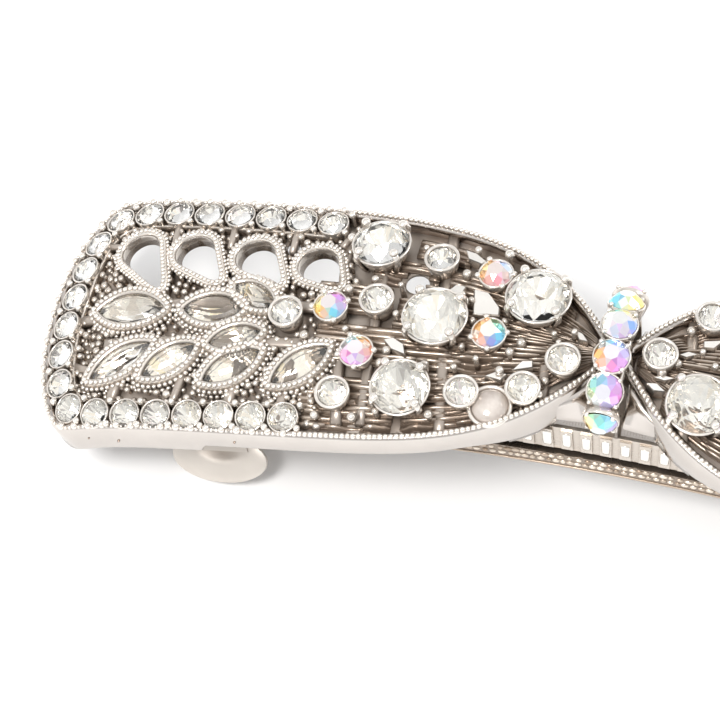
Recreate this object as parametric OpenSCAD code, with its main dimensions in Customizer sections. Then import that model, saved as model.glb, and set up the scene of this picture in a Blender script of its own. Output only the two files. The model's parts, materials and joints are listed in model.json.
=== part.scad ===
// Bow-shaped rhinestone hair clip on a spring barrette.
// +Z up, X along the clip, Y across it. The origin is on the resting
// plane, under the middle of the clip. Sizes are in millimetres.

/* [Arch] */
// Radius of the long arch that follows the head
arch_r = 125; // [110:5:160]
// Height of the arch top above the resting plane
arch_top = 16.5; // [16.4:0.1:16.7]
// Crown height across the width
crown = 1.2; // [0.8:0.1:1.5]

/* [Ornament] */
// Half width of a wing near its end
wing_half_w = 10.7; // [10.2:0.1:11.2]
// Distance along the arch from the middle to a wing's end
wing_end = 47.1; // [46.6:0.1:47.6]
// Height of the polished side wall
wall_h = 2.3; // [1.8:0.1:2.6]
// Diameter of the rim stones
rim_d = 2.1; // [1.9:0.05:2.2]
// Number of rim stones in each wing
rim_n = 22; // [18:1:23]
// Diameter of the largest crystals
big_d = 5; // [4.6:0.1:5.2]
// Diameter of the small clear crystals
small_d = 2.3; // [2.0:0.1:2.4]
// Diameter of the iridescent stones
aurora_d = 2.4; // [2.1:0.1:2.5]
// Diameter of the stones on the knot
knot_d = 2.8; // [2.5:0.1:2.8]

/* [Clip] */
// Width of the base plate
base_w = 8.8; // [8.6:0.1:9.2]
// Sheet thickness of the base plate and its flanges
sheet = 0.6; // [0.5:0.05:0.6]
// Width of the clasp arm
arm_w = 9.4; // [9:0.1:9.8]
// Radius of the hinge pin
pin_r = 0.75; // [0.7:0.01:0.8]
// Pitch of the ribs pressed into the flanges
rib_pitch = 1.55; // [1.4:0.05:1.8]

/* [Hidden] */

R = arch_r;
roll_s = 38;     // where the roll-off towards the wing's end starts
roll_k = 0.02;   // strength of the roll-off
base_top = 3.9;  // depth of the base plate's top below the arch
flange_d = 7.1;  // depth of the flanges' lower edge
arm_top = 7.6;   // depth of the clasp arm's top
latch_a = -15;   // angle of the latch along the arch
pin_x = 35;
pin_z = 2.2;

silver = [0.80, 0.78, 0.75];
crystal = [0.92, 0.93, 0.95];

// --- surface of the ornament -------------------------------------------
function sgn(x) = x < 0 ? -1 : 1;
function over(s) = max(0, abs(s) - roll_s);
function lift(s, v) = crown * (1 - pow(v / 10, 2)) - roll_k * pow(over(s), 2);
function ang(s) = s / R * 180 / PI;
function P(s, v, h = 0) = let (q = R + lift(s, v) + h, a = ang(s))
  [q * sin(a), v, q * cos(a) - R + arch_top];
module at(s, v, h = 0)
  translate(P(s, v, h))
    rotate([0, ang(s) + sgn(s) * atan(2 * roll_k * over(s)), 0])
      rotate([-atan(2 * crown * v / 100), 0, 0]) children();

// half width of a wing at distance a from the middle
function half_w(a) = wing_half_w * (1 - exp(-pow((a + 0.2) / 6.7, 1.1)));

// outline of the left wing, from the waist's front edge round to its back
// edge. t runs 0..1 on each of the three stretches.
corner = 3;
function edge_s(v) = wing_end - 0.016 * v * v;
function outline(n, m) = concat(
  [for (i = [0:n]) let (a = 0.5 + (wing_end - corner - 1.6 - 0.5) * i / n)
    [-a, -half_w(a)]],
  [for (i = [0:m]) let (t = -1 + 2 * i / m, q = 90 * t,
      y = half_w(44) * sgn(t) * pow(abs(sin(q)), 0.62),
      x = edge_s(y) - 3.4 * (1 - pow(max(0, cos(q)), 0.5)) * 1.0)
    if (abs(t) < 0.985) [-x, y]],
  [for (i = [n:-1:0]) let (a = 0.5 + (wing_end - corner - 1.6 - 0.5) * i / n)
    [-a, half_w(a)]]);

// points of a path at equal steps
function seg(p, i) = norm(p[i + 1] - p[i]);
function len_to(p, k) = k <= 0 ? 0 : seg(p, k - 1) + len_to(p, k - 1);
function find(p, d, i = 0) = i >= len(p) - 2 || d <= seg(p, i)
  ? p[i] + (p[i + 1] - p[i]) * min(1, d / seg(p, i))
  : find(p, d - seg(p, i), i + 1);
function spaced(p, n) = let (L = len_to(p, len(p) - 1))
  [for (i = [0:n - 1]) find(p, L * i / (n - 1))];
function unit(v) = v / max(norm(v), 1e-6);
function tang(p, i) = unit(p[min(len(p) - 1, i + 1)] - p[max(0, i - 1)]);

// centre line of the rim stones of the left wing
rim_line = [[-24.6, -9.0], [-30, -9.25], [-36, -9.45], [-40, -9.5],
  [-42.8, -9], [-44.2, -7], [-44.75, -4.5], [-45, -1.5], [-44.95, 1.5],
  [-44.8, 4.2], [-44.4, 6.7], [-43.1, 8.7], [-40.2, 9.1], [-36, 9.1],
  [-30, 9], [-24.8, 8.8]];

// a band that follows a path on the surface. The section runs from a to b
// across the path and from h0 to h1 in height.
module band(p, a, b, h0, h1) {
  n = len(p);
  pts = [for (i = [0:n - 1]) let (t = tang(p, i), m = [-t[1], t[0]])
    each [P(p[i][0] + m[0] * a, p[i][1] + m[1] * a, h0),
          P(p[i][0] + m[0] * b, p[i][1] + m[1] * b, h0),
          P(p[i][0] + m[0] * b, p[i][1] + m[1] * b, h1),
          P(p[i][0] + m[0] * a, p[i][1] + m[1] * a, h1)]];
  faces = concat([[0, 1, 2, 3]], [[for (j = [3:-1:0]) 4 * (n - 1) + j]],
    [for (i = [0:n - 2], j = [0:3])
      [4 * i + 4 + j, 4 * i + 4 + (j + 1) % 4, 4 * i + (j + 1) % 4, 4 * i + j]]);
  polyhedron(pts, faces, convexity = 8);
}

// pointed oval of length l and width w
module lens(l, w) {
  r = (l * l + w * w) / (4 * w);
  intersection() {
    translate([0, r - w / 2]) circle(r, $fn = 40);
    translate([0, w / 2 - r]) circle(r, $fn = 40);
  }
}
function lens_pts(l, w, n) = let (r = (l * l + w * w) / (4 * w),
    q = asin(l / 2 / r))
  concat([for (i = [0:n]) let (t = -q + 2 * q * i / n)
      [r * sin(t), w / 2 - r + r * cos(t)]],
    [for (i = [1:n - 1]) let (t = q - 2 * q * i / n)
      [r * sin(t), -(w / 2 - r + r * cos(t))]]);

// drop outline of radius r with its point at distance d
function drop_pts(r, d, n) = let (q = acos(r / d))
  concat([for (i = [0:n]) let (t = q + (360 - 2 * q) * i / n)
    [r * cos(t), r * sin(t)]], [[d, 0]]);

// --- layout of the left wing (distance along the arch, across, ...) -----
// large crystals: s, v, diameter, lift
bigs = [[-20.1, 6.7, 0.9, 0.9], [-14.3, 0.3, 1, 1.1], [-15.7, -6, 0.92, 0.9],
  [-6.9, 3.4, 1, 1.1]];
// small crystals in ring cups: s, v, lift
smalls = [[-26.1, -0.4, 0.5], [-19.2, 1.4, 0.6], [-15.1, 5.9, 0.6],
  [-20.9, -6.9, 0.5], [-11, -5.6, 0.6], [-3.9, -1.7, 0.8], [-6.4, -4.6, 0.7]];
// iridescent stones
auroras = [[-22.6, 0.3, 0.8], [-19.7, -3.4, 0.8], [-10.6, 5.2, 0.8],
  [-9.9, -0.5, 0.9]];
// low cabochon
cab = [-8.7, -6.1];
// open drops: round end s, v and point s, v
drops = [[-40.1, 5.3, -36.3, 0.1], [-35.4, 5.2, -31.6, 1.4],
  [-30.2, 5, -26.5, 1.5], [-24.9, 4.6, -21.9, 1.9]];
// pointed ovals: s, v of both points
ovals = [[-42.2, -0.5, -36.4, -0.3], [-34.8, -0.3, -29.8, 0], [-31, 2.2, -27.4, 0.3],
  [-32, -3.3, -27.9, -1.9], [-41.5, -6.6, -36.7, -3.4], [-37, -6.3, -33, -3.4],
  [-31.8, -6.5, -27.6, -3.6], [-26.2, -6.3, -22.2, -2.8]];
// pleats: s, v at the waist end and at the far end
pleats = [[-1.8, -1.6, -13, -8], [-1.8, -1, -18, -4.9], [-1.8, -0.4, -23.5, -1.4],
  [-1.8, 0.3, -20.6, 3.6], [-1.8, 0.9, -19, 8.4], [-4, -3.6, -10, -7.9],
  [-1.8, 1.5, -9, 7.4], [-13, 3, -23.6, 3.2], [-18, -4.6, -23, -8.2]];
posts = [-12, -25.5];

function mid(o) = [(o[0] + o[2]) / 2, (o[1] + o[3]) / 2];
function span(o) = norm([o[2] - o[0], o[3] - o[1]]);
function head(o) = atan2(o[3] - o[1], o[2] - o[0]);
rim_spots = spaced(rim_line, rim_n);

module cup(r, wall, deep, lip) {
  difference() {
    translate([0, 0, -deep]) cylinder(h = deep + lip, r1 = r * 0.8,
      r2 = r + wall, $fn = 12);
    translate([0, 0, -0.35]) cylinder(h = lip + 1, r = r, $fn = 12);
  }
}

module prong(r, up) for (a = [45:90:315]) rotate(a) translate([r, 0, 0])
  translate([0, 0, -0.8]) cylinder(h = 1.05 + up, r = 0.3, $fn = 5);

module strip(a, b, w, h0, h1, n)
  band([for (k = [0:n]) a + (b - a) * k / n], -w / 2, w / 2, h0, h1);

module wing_casting() {
  path = outline(14, 24);
  difference() {
    union() {
      band(path, -0.75, 0, -wall_h, 0);
      band(spaced(rim_line, 36), -1.45, 1.5, -0.95, 0);
      for (o = drops) at(o[0], o[1], -0.75) rotate(head(o)) linear_extrude(0.8)
        difference() {
          polygon(drop_pts(2.25, span(o) + 0.5, 10));
          polygon(drop_pts(1.55, span(o) - 0.7, 10));
        }
      for (o = ovals) let (m = mid(o)) at(m[0], m[1], -0.75)
        rotate(head(o)) linear_extrude(0.85)
          polygon(lens_pts(span(o) + 1.1, 3.1, 4));
      for (o = pleats) strip([o[0], o[1]], [o[2], o[3]], 0.9, -1, -0.15,
        max(1, round(span(o) / 8)));
      strip([-37.5, 0.3], [-22.5, 0.9], 1.2, -0.9, -0.2, 2);
      strip([-41, -3.3], [-23.5, -2.4], 1, -0.9, -0.3, 2);
      strip([-39.5, -8.2], [-38.8, -4.6], 1, -0.9, -0.2, 1);
      strip([-29.5, -8.2], [-29.2, -4.6], 1, -0.9, -0.2, 1);
      strip([-44, -1], [-41.8, -0.9], 1, -0.9, -0.2, 1);
      strip([-20.5, -8.6], [-23.4, 8], 1, -1.1, -0.3, 3);
      strip([-18.6, -8.4], [-20, 8.3], 0.9, -1.15, -0.35, 3);
      strip([-12.2, -8.6], [-15.2, 9.2], 1, -1.1, -0.3, 3);
      strip([-5.2, -5.2], [-6.2, 6.2], 1, -1.1, -0.3, 2);
      for (b = bigs) at(b[0], b[1], b[3])
        cup(b[2] * big_d / 2, 0.12, 1.9, -0.1);
      for (b = bigs) at(b[0], b[1], b[3])
        prong(b[2] * big_d / 2 + 0.12, 0.45);
      for (b = smalls) at(b[0], b[1], b[2]) cup(small_d / 2, 0.35, 1.7, 0.12);
      for (b = auroras) at(b[0], b[1], b[2]) cup(aurora_d / 2, 0.2, 1.8, 0);
      at(cab[0], cab[1], -0.1) cup(1.5, 0.35, 1, 0.1);
      for (s = posts) on_arc(s, base_top) difference() {
        cylinder(h = base_top + 0.6, r = 1.1, $fn = 12);
        translate([0, 0, -0.1]) cylinder(h = 1.1, r = 0.7, $fn = 12);
      }
    }
    for (p = rim_spots) at(p[0], p[1], -0.45) cylinder(h = 1, r = rim_d / 2,
      $fn = 8);
    for (o = ovals) let (m = mid(o)) at(m[0], m[1], -0.35) rotate(head(o))
      linear_extrude(1) polygon(lens_pts(span(o) + 0.1, 2.1, 4));
  }
}

// a round faceted stone of diameter d with its girdle at z = 0
module gem(d, low = 0.4, up = 0.28) rotate_extrude($fn = 32)
  polygon([[0, -low * d], [d / 2 - 0.03, -0.12], [d / 2 - 0.03, 0],
    [0.3 * d, up * d], [0, up * d]]);

module left_rim() for (p = rim_spots) at(p[0], p[1], 0.12)
  gem(rim_d, 0.24, 0.25);
module left_ovals() for (o = ovals) let (m = mid(o)) at(m[0], m[1], -0.35)
  rotate(head(o)) {
    linear_extrude(0.55) polygon(lens_pts(span(o), 2, 5));
    translate([0, 0, 0.55]) linear_extrude(0.35)
      polygon(lens_pts(span(o) * 0.7, 1.3, 5));
  }
module left_bigs() for (b = bigs) at(b[0], b[1], b[3])
  gem(b[2] * big_d, 0.06, 0.24);
module left_smalls() for (b = smalls) at(b[0], b[1], b[2])
  gem(small_d, 0.13, 0.28);
module left_auroras() for (b = auroras) at(b[0], b[1], b[2])
  gem(aurora_d, 0.13, 0.3);
module left_cab() at(cab[0], cab[1], -0.4) intersection() {
  translate([0, 0, -0.9]) sphere(r = 1.9, $fn = 32);
  cylinder(h = 1.5, r = 1.45, $fn = 32);
}

module left_wing_casting() color(silver) wing_casting();
module right_wing_casting() color(silver) rotate(180) wing_casting();
module rim_stones_left() color(crystal) left_rim();
module rim_stones_right() color(crystal) rotate(180) left_rim();
module marquise_stones_left() color([0.78, 0.77, 0.72]) left_ovals();
module marquise_stones_right() color([0.78, 0.77, 0.72]) rotate(180) left_ovals();
module large_crystals_left() color(crystal) left_bigs();
module large_crystals_right() color(crystal) rotate(180) left_bigs();
module small_crystals_left() color(crystal) left_smalls();
module small_crystals_right() color(crystal) rotate(180) left_smalls();
module aurora_stones_left() color([0.75, 0.75, 0.95]) left_auroras();
module aurora_stones_right() color([0.75, 0.75, 0.95]) rotate(180) left_auroras();
module cabochon_left() color([0.88, 0.86, 0.83]) left_cab();
module cabochon_right() color([0.88, 0.86, 0.83]) rotate(180) left_cab();

// --- knot -----------------------------------------------------------------
// y, z below the arch top and tilt of each stone on the front half
knot_spots = [[1.45, 3.4, 6], [4.3, 2.8, 32], [5.75, 0.35, 80]];
module on_knot() for (m = [-1, 1], k = knot_spots)
  translate([0, m * k[0], arch_top + k[1]]) rotate([-m * k[2], 0, 0]) children();
function strap(y, z, p, n) = [for (i = [0:n]) let (q = 180 * i / n)
  [y * sgn(cos(q)) * pow(abs(cos(q)), p), -base_top + (z + base_top) * pow(sin(q), p)]];

module knot_band() color(silver) difference() {
  union() {
    translate([-1.7, 0, arch_top]) rotate([90, 0, 90]) linear_extrude(3.4)
      difference() {
        polygon(strap(5, 2.75, 0.5, 24));
        translate([0, -0.01]) polygon(strap(4.4, 1.9, 0.5, 24));
      }
    on_knot() translate([0, 0, -1.25]) cylinder(h = 1.3, r1 = 1.3,
      r2 = 1.42, $fn = 32);
  }
  on_knot() translate([0, 0, -0.35]) cylinder(h = 1, r = knot_d / 2 - 0.1,
    $fn = 32);
}
module knot_aurora_stones() color([0.75, 0.75, 0.95]) on_knot()
  gem(knot_d - 0.2, 0.12, 0.3);

// --- clip -------------------------------------------------------------------
module on_arc(s, d) translate([(R - d) * sin(ang(s)), 0,
  (R - d) * cos(ang(s)) - R + arch_top]) rotate([0, ang(s), 0]) children();

// part of a ring about the arch axis, between depths d0 and d1 and between
// angles a0 and a1, centred on y
module ring(d0, d1, a0, a1, w, y = 0) translate([0, y + w / 2, arch_top - R])
  rotate([90, 0, 0]) intersection() {
    difference() {
      cylinder(h = w, r = R - d0, $fn = 180);
      translate([0, 0, -1]) cylinder(h = w + 2, r = R - d1, $fn = 180);
    }
    translate([0, 0, -1]) linear_extrude(w + 2) polygon([[0, 0],
      2 * R * [sin(a0), cos(a0)], 2 * R * [sin(a1), cos(a1)]]);
  }

module base_plate() color(silver) difference() {
  union() {
    ring(base_top, base_top + sheet, -18.5, 18.6, base_w);
    for (m = [-1, 1]) {
      ring(base_top + 0.1, flange_d, -11.4, 16.6, sheet,
        m * (base_w / 2 - sheet / 2));
      // ribs pressed outwards in the flange
      for (i = [-15:18]) translate([0, 0, arch_top - R])
        rotate([0, i * rib_pitch / (R - 5) * 180 / PI, 0])
          translate([-0.45, m * (base_w / 2 + 0.07) - 0.1, R - flange_d + 0.25])
            cube([0.9, 0.2, flange_d - base_top - 0.5]);
      // hinge lug
      translate([pin_x, m * (base_w / 2 - sheet / 2) + sheet / 2, pin_z])
        rotate([90, 0, 0]) linear_extrude(sheet) difference() {
          union() {
            circle(r = 2.4, $fn = 48);
            polygon([[-2.3, 0], [-3.6, 5.6], [0.2, 5.2], [2.35, 0]]);
          }
          translate([-5, -pin_z - 5]) square([10, 5]);
        }
    }
  }
  translate([pin_x, 10, pin_z]) rotate([90, 0, 0])
    cylinder(h = 20, r = pin_r, $fn = 48);
  for (s = [-25.5, -12, 12, 25.5]) on_arc(s, base_top + 1)
    cylinder(h = 2, r = 0.7, $fn = 32);
  latch() translate([0, 0, -6]) cylinder(h = 4, r = 0.7, $fn = 32);
}

module base_rivets() color([0.7, 0.69, 0.67])
  for (s = [-25.5, -12, 12, 25.5]) on_arc(s, base_top + sheet) {
    translate([0, 0, -0.45]) cylinder(h = 0.46, r1 = 0.9, r2 = 1.3, $fn = 32);
    cylinder(h = sheet + 0.9, r = 0.68, $fn = 32);
  }

module tension_leaf() color([0.7, 0.7, 0.7])
  translate([0, 2.5, arch_top - 6.2 - 430]) rotate([90, 0, 0]) intersection() {
    difference() {
      cylinder(h = 5, r = 430, $fn = 200);
      translate([0, 0, -1]) cylinder(h = 7, r = 429.65, $fn = 200);
    }
    translate([-22.3, 400, -1]) cube([44.6, 40, 7]);
  }

// frame of the latch: z is the depth line through the arch, x along it
module latch() translate([R * sin(latch_a), 0, R * cos(latch_a) - R + arch_top])
  rotate([0, latch_a, 0]) children();

module latch_saddle() color(silver) latch() difference() {
  union() {
    translate([-3.2, -3.45, -5.15]) cube([6.4, 6.9, 0.6]);
    for (m = [-1, 1]) translate([-1.6, m * 3.95, -5.4]) rotate([0, 90, 0])
      cylinder(h = 3.2, r = 0.9, $fn = 40);
  }
  // the curls are open below and hold the ears' beads
  for (m = [-1, 1]) translate([-4, m * 3.95, -5.4]) {
    rotate([0, 90, 0]) cylinder(h = 8, r = 0.55, $fn = 40);
    translate([0, -0.45 + m * 0.165, -2]) cube([8, 0.9, 2]);
  }
  translate([-4, -6, -4.55]) cube([8, 12, 2]);
  translate([0, 0, -6]) cylinder(h = 4, r = 0.7, $fn = 32);
}

module latch_rivet() color([0.7, 0.69, 0.67]) latch() {
  translate([0, 0, -5.6]) cylinder(h = 0.46, r1 = 0.9, r2 = 1.2, $fn = 32);
  translate([0, 0, -5.2]) cylinder(h = 1.3, r = 0.68, $fn = 32);
  translate([0, 0, -3.91]) cylinder(h = 0.4, r1 = 1.2, r2 = 0.9, $fn = 32);
}

// profile of a pinch ear, y outwards and z up, as a bent strip
ear_line = [[3.95, -5.4], [4.4, -6.6], [5, -7.9], [5.3, -8.35],
  [6, -8.6], [6.15, -9.3], [6.2, -10.2], [6.5, -10.9], [7.3, -11.4],
  [8.6, -11.6]];
// strip profile in the y-z plane, cut to the ear's outline in plan
module ear_profile(t) {
  p = ear_line;
  n = len(p) - 1;
  polygon(concat([for (i = [0:n]) let (u = tang(p, i)) p[i] + [-u[1], u[0]] * t / 2],
    [for (i = [n:-1:0]) let (u = tang(p, i)) p[i] - [-u[1], u[0]] * t / 2]));
}
module ear() latch() {
  translate([-1.5, 3.95, -5.4]) rotate([0, 90, 0]) cylinder(h = 3, r = 0.5, $fn = 40);
  intersection() {
    translate([-5, 0, 0]) rotate([90, 0, 90]) linear_extrude(10) ear_profile(0.45);
    union() {
      translate([-1.75, 3, -9.4]) cube([3.5, 6, 4.2]);
      // the pad, wide and round at its corners
      translate([0, 0, -13]) linear_extrude(4.2) intersection() {
        translate([-4.1, 5]) square([8.2, 4]);
        translate([0, 3.9]) scale([1, 1]) circle(r = 4.9, $fn = 60);
      }
    }
  }
}
module latch_ear_back() color([0.84, 0.81, 0.76]) ear();
module latch_ear_front() color([0.84, 0.81, 0.76]) mirror([0, 1, 0]) ear();

module clasp_arm() color(silver) difference() {
  union() {
    ring(arm_top, arm_top + 0.7, -12.4, 14.9, arm_w);
    ring(arm_top, arm_top + 0.7, 14.8, 16.9, 7.3);
    for (m = [-1, 1]) ring(arm_top + 0.1, arm_top + 1.9, -12.4, 14.5, 0.6,
      m * (arm_w / 2 - 0.3));
    // loop that drops over the ears
    latch() difference() {
      translate([-5.5, -6.9, -8]) cube([11.2, 13.8, 0.8]);
      translate([-4.4, -6, -9]) cube([8.8, 12, 2]);
    }
    latch() translate([-7, -2.2, -8]) cube([1.7, 4.4, 0.8]);
    // hinge barrel
    translate([pin_x, 3.65, pin_z]) rotate([90, 0, 0])
      cylinder(h = 7.3, r = 1.5, $fn = 48);
  }
  translate([pin_x, 10, pin_z]) rotate([90, 0, 0])
    cylinder(h = 20, r = pin_r + 0.05, $fn = 48);
}

module hinge_pin() color([0.72, 0.71, 0.69]) translate([pin_x, 0, pin_z])
  rotate([90, 0, 0]) {
    translate([0, 0, -base_w / 2 - 0.1]) cylinder(h = base_w + 0.2, r = pin_r, $fn = 48);
    for (m = [-1, 1]) translate([0, 0, m * (base_w / 2 + 0.15) - 0.15])
      cylinder(h = 0.3, r = 1.15, $fn = 48);
  }

left_wing_casting();
right_wing_casting();
knot_band();
rim_stones_left();
rim_stones_right();
marquise_stones_left();
marquise_stones_right();
large_crystals_left();
large_crystals_right();
small_crystals_left();
small_crystals_right();
aurora_stones_left();
aurora_stones_right();
knot_aurora_stones();
cabochon_left();
cabochon_right();
base_plate();
base_rivets();
tension_leaf();
latch_saddle();
latch_rivet();
latch_ear_front();
latch_ear_back();
clasp_arm();
hinge_pin();
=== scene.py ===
import json
import math
import bpy
import numpy as np
from mathutils import Matrix, Vector

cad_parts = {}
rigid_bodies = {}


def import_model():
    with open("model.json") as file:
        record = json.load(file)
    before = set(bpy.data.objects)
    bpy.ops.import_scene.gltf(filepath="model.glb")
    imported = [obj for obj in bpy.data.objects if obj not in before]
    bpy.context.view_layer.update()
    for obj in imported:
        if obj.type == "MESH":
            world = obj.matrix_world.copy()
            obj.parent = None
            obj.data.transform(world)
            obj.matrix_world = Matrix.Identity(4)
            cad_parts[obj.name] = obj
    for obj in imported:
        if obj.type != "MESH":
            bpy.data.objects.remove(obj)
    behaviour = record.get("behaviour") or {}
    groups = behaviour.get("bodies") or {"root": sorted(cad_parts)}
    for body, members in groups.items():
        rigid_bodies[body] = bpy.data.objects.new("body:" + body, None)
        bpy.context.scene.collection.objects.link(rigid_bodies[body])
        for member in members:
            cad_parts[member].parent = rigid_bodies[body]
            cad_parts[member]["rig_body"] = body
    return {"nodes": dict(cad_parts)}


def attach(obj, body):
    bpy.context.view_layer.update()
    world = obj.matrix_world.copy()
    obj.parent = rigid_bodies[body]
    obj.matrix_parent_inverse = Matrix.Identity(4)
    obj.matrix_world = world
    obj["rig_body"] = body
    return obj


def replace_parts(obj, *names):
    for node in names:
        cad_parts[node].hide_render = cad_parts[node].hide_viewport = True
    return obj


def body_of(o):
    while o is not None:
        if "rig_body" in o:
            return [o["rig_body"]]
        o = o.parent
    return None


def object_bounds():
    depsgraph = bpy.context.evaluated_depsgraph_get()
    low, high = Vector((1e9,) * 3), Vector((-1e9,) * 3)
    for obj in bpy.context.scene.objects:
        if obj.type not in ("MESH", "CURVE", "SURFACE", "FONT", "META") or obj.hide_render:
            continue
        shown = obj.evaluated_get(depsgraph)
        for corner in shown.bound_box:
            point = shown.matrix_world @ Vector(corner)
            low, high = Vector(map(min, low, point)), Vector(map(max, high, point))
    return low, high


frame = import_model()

lo0, hi0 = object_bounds()
MM = 0.001
rng = np.random.default_rng(7)

# ---------------------------------------------------------------- surface
R, ZT, CR, RS, RK = 125.0, 16.5, 1.2, 38.0, 0.02


def lift(s, v):
    return CR * (1 - (v / 10.0) ** 2) - RK * np.maximum(0, np.abs(s) - RS) ** 2


def P(s, v, h=0.0):
    s, v, h = np.broadcast_arrays(np.asarray(s, float), np.asarray(v, float), np.asarray(h, float))
    q = R + lift(s, v) + h
    return np.stack([q * np.sin(s / R), v, q * np.cos(s / R) - R + ZT], -1)


def basis(s, v):
    """Columns: along the clip, across it, out of the surface."""
    a = s / R + math.copysign(math.atan(2 * RK * max(0, abs(s) - RS)), s)
    b = -math.atan(2 * CR * v / 100)
    ry = np.array([[math.cos(a), 0, math.sin(a)], [0, 1, 0], [-math.sin(a), 0, math.cos(a)]])
    rx = np.array([[1, 0, 0], [0, math.cos(b), -math.sin(b)], [0, math.sin(b), math.cos(b)]])
    return ry @ rx


def half_w(a):
    return 10.7 * (1 - np.exp(-((a + 0.2) / 6.7) ** 1.1))


# ---------------------------------------------------------------- mesh kit
class Mesh:
    """Collects faces, with a material index, a smooth flag, a depth shade for each point and a tint for each face."""

    def __init__(self):
        self.v, self.f, self.m, self.sm, self.d, self.t = [], [], [], [], [], []
        self.n = 0

    def add(self, verts, faces, mat=0, smooth=True, deep=0.0, tint=None):
        verts = np.asarray(verts, float).reshape(-1, 3)
        k = self.n
        self.v.append(verts)
        self.n += len(verts)
        self.f += [tuple(int(i) + k for i in f) for f in faces]
        nf = len(faces)
        self.m += [mat] * nf if np.isscalar(mat) else list(mat)
        self.sm += [smooth] * nf
        self.d.append(np.broadcast_to(np.asarray(deep, float), (len(verts),)).copy())
        self.t += ([(1, 1, 1)] * nf) if tint is None else list(tint)

    def build(self, name, mats, body="root", turn=False, sharp=None):
        me = bpy.data.meshes.new(name)
        v = np.concatenate(self.v) * MM
        me.from_pydata(v.tolist(), [], self.f)
        for m in mats:
            me.materials.append(m)
        me.polygons.foreach_set("material_index", np.array(self.m, np.int32))
        me.polygons.foreach_set("use_smooth", np.array(self.sm, bool))
        at = me.attributes.new("deep", "FLOAT", "POINT")
        at.data.foreach_set("value", np.concatenate(self.d).astype(np.float32))
        col = me.attributes.new("tint", "FLOAT_COLOR", "CORNER")
        counts = np.array([len(f) for f in self.f])
        tt = np.repeat(np.array(self.t, float), counts, axis=0)
        col.data.foreach_set("color", np.c_[tt, np.ones(len(tt))].astype(np.float32).ravel())
        me.update()
        if sharp:
            me.set_sharp_from_angle(angle=math.radians(sharp))
        o = bpy.data.objects.new(name, me)
        bpy.context.scene.collection.objects.link(o)
        if turn:
            o.matrix_world = Matrix.Rotation(math.pi, 4, "Z")
        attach(o, body)
        return o


def ico(level):
    t = (1 + 5 ** 0.5) / 2
    v = [(-1, t, 0), (1, t, 0), (-1, -t, 0), (1, -t, 0), (0, -1, t), (0, 1, t), (0, -1, -t), (0, 1, -t),
         (t, 0, -1), (t, 0, 1), (-t, 0, -1), (-t, 0, 1)]
    f = [(0, 11, 5), (0, 5, 1), (0, 1, 7), (0, 7, 10), (0, 10, 11), (1, 5, 9), (5, 11, 4), (11, 10, 2), (10, 7, 6),
         (7, 1, 8), (3, 9, 4), (3, 4, 2), (3, 2, 6), (3, 6, 8), (3, 8, 9), (4, 9, 5), (2, 4, 11), (6, 2, 10),
         (8, 6, 7), (9, 8, 1)]
    v = [np.array(x) / np.linalg.norm(x) for x in v]
    for _ in range(level):
        cache, nf = {}, []

        def half(a, b):
            key = (min(a, b), max(a, b))
            if key not in cache:
                x = v[a] + v[b]
                v.append(x / np.linalg.norm(x))
                cache[key] = len(v) - 1
            return cache[key]
        for a, b, c in f:
            ab, bc, ca = half(a, b), half(b, c), half(c, a)
            nf += [(a, ab, ca), (b, bc, ab), (c, ca, bc), (ab, bc, ca)]
        f = nf
    return np.array(v), f


ICO1, ICO2 = ico(1), ico(2)


def bead(m, centre, r, fine=False, basis_=None, squash=1.0, mat=0, deep=0.0):
    v, f = ICO2 if fine else ICO1
    v = v * [1, 1, squash]
    if basis_ is not None:
        v = v @ basis_.T
    m.add(np.asarray(centre) + r * v, f, mat, True, deep)


def local(s, v, h, pts):
    """Points given in the tangent frame at (s, v, h), in world millimetres."""
    return P(s, v, h) + np.asarray(pts, float) @ basis(s, v).T


def revolve(profile, n, phase=0.0):
    """Closed solid of revolution from a profile of (radius, z) that starts and ends on the axis or closes on itself."""
    prof = np.array(profile, float)
    a = phase + np.arange(n) * 2 * math.pi / n
    pts, faces, idx = [], [], []
    for r, z in prof:
        if r < 1e-6:
            idx.append([len(pts)] * n)
            pts.append((0, 0, z))
        else:
            idx.append(list(range(len(pts), len(pts) + n)))
            pts += [(r * math.cos(x), r * math.sin(x), z) for x in a]
    ring = prof[0][0] > 1e-6
    k = len(prof)
    for i in range(k if ring else k - 1):
        A, B = idx[i], idx[(i + 1) % k]
        for j in range(n):
            q = [A[j], B[j], B[(j + 1) % n], A[(j + 1) % n]]
            u = []
            for x in q:
                if x not in u:
                    u.append(x)
            if len(u) > 2:
                faces.append(tuple(u))
    return np.array(pts), faces


def sweep(m, path, section, closed=False, deep=None, smooth=True, hfun=None):
    """Sweeps a closed section of (inward offset, height) points along a path of (s, v) points on the surface."""
    path = np.asarray(path, float)
    n, k = len(path), len(section)
    if closed:
        t = np.roll(path, -1, 0) - np.roll(path, 1, 0)
    else:
        t = np.gradient(path, axis=0)
    t /= np.maximum(1e-9, np.linalg.norm(t, axis=1))[:, None]
    nm = np.c_[-t[:, 1], t[:, 0]]
    sec = np.asarray(section, float)
    verts = []
    for i in range(n):
        q = path[i] + nm[i] * sec[:, :1]
        h = sec[:, 1] + (hfun(path[i], sec) if hfun else 0)
        verts.append(P(q[:, 0], q[:, 1], h))
    faces = []
    for i in range(n if closed else n - 1):
        a, b = i * k, ((i + 1) % n) * k
        for j in range(k):
            faces.append((a + j, a + (j + 1) % k, b + (j + 1) % k, b + j))
    if not closed:
        faces.append(tuple(range(k))[::-1])
        faces.append(tuple((n - 1) * k + j for j in range(k)))
    dd = np.zeros(k) if deep is None else np.asarray(deep, float)
    m.add(np.concatenate(verts), faces, 0, smooth, np.tile(dd, n))


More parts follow.
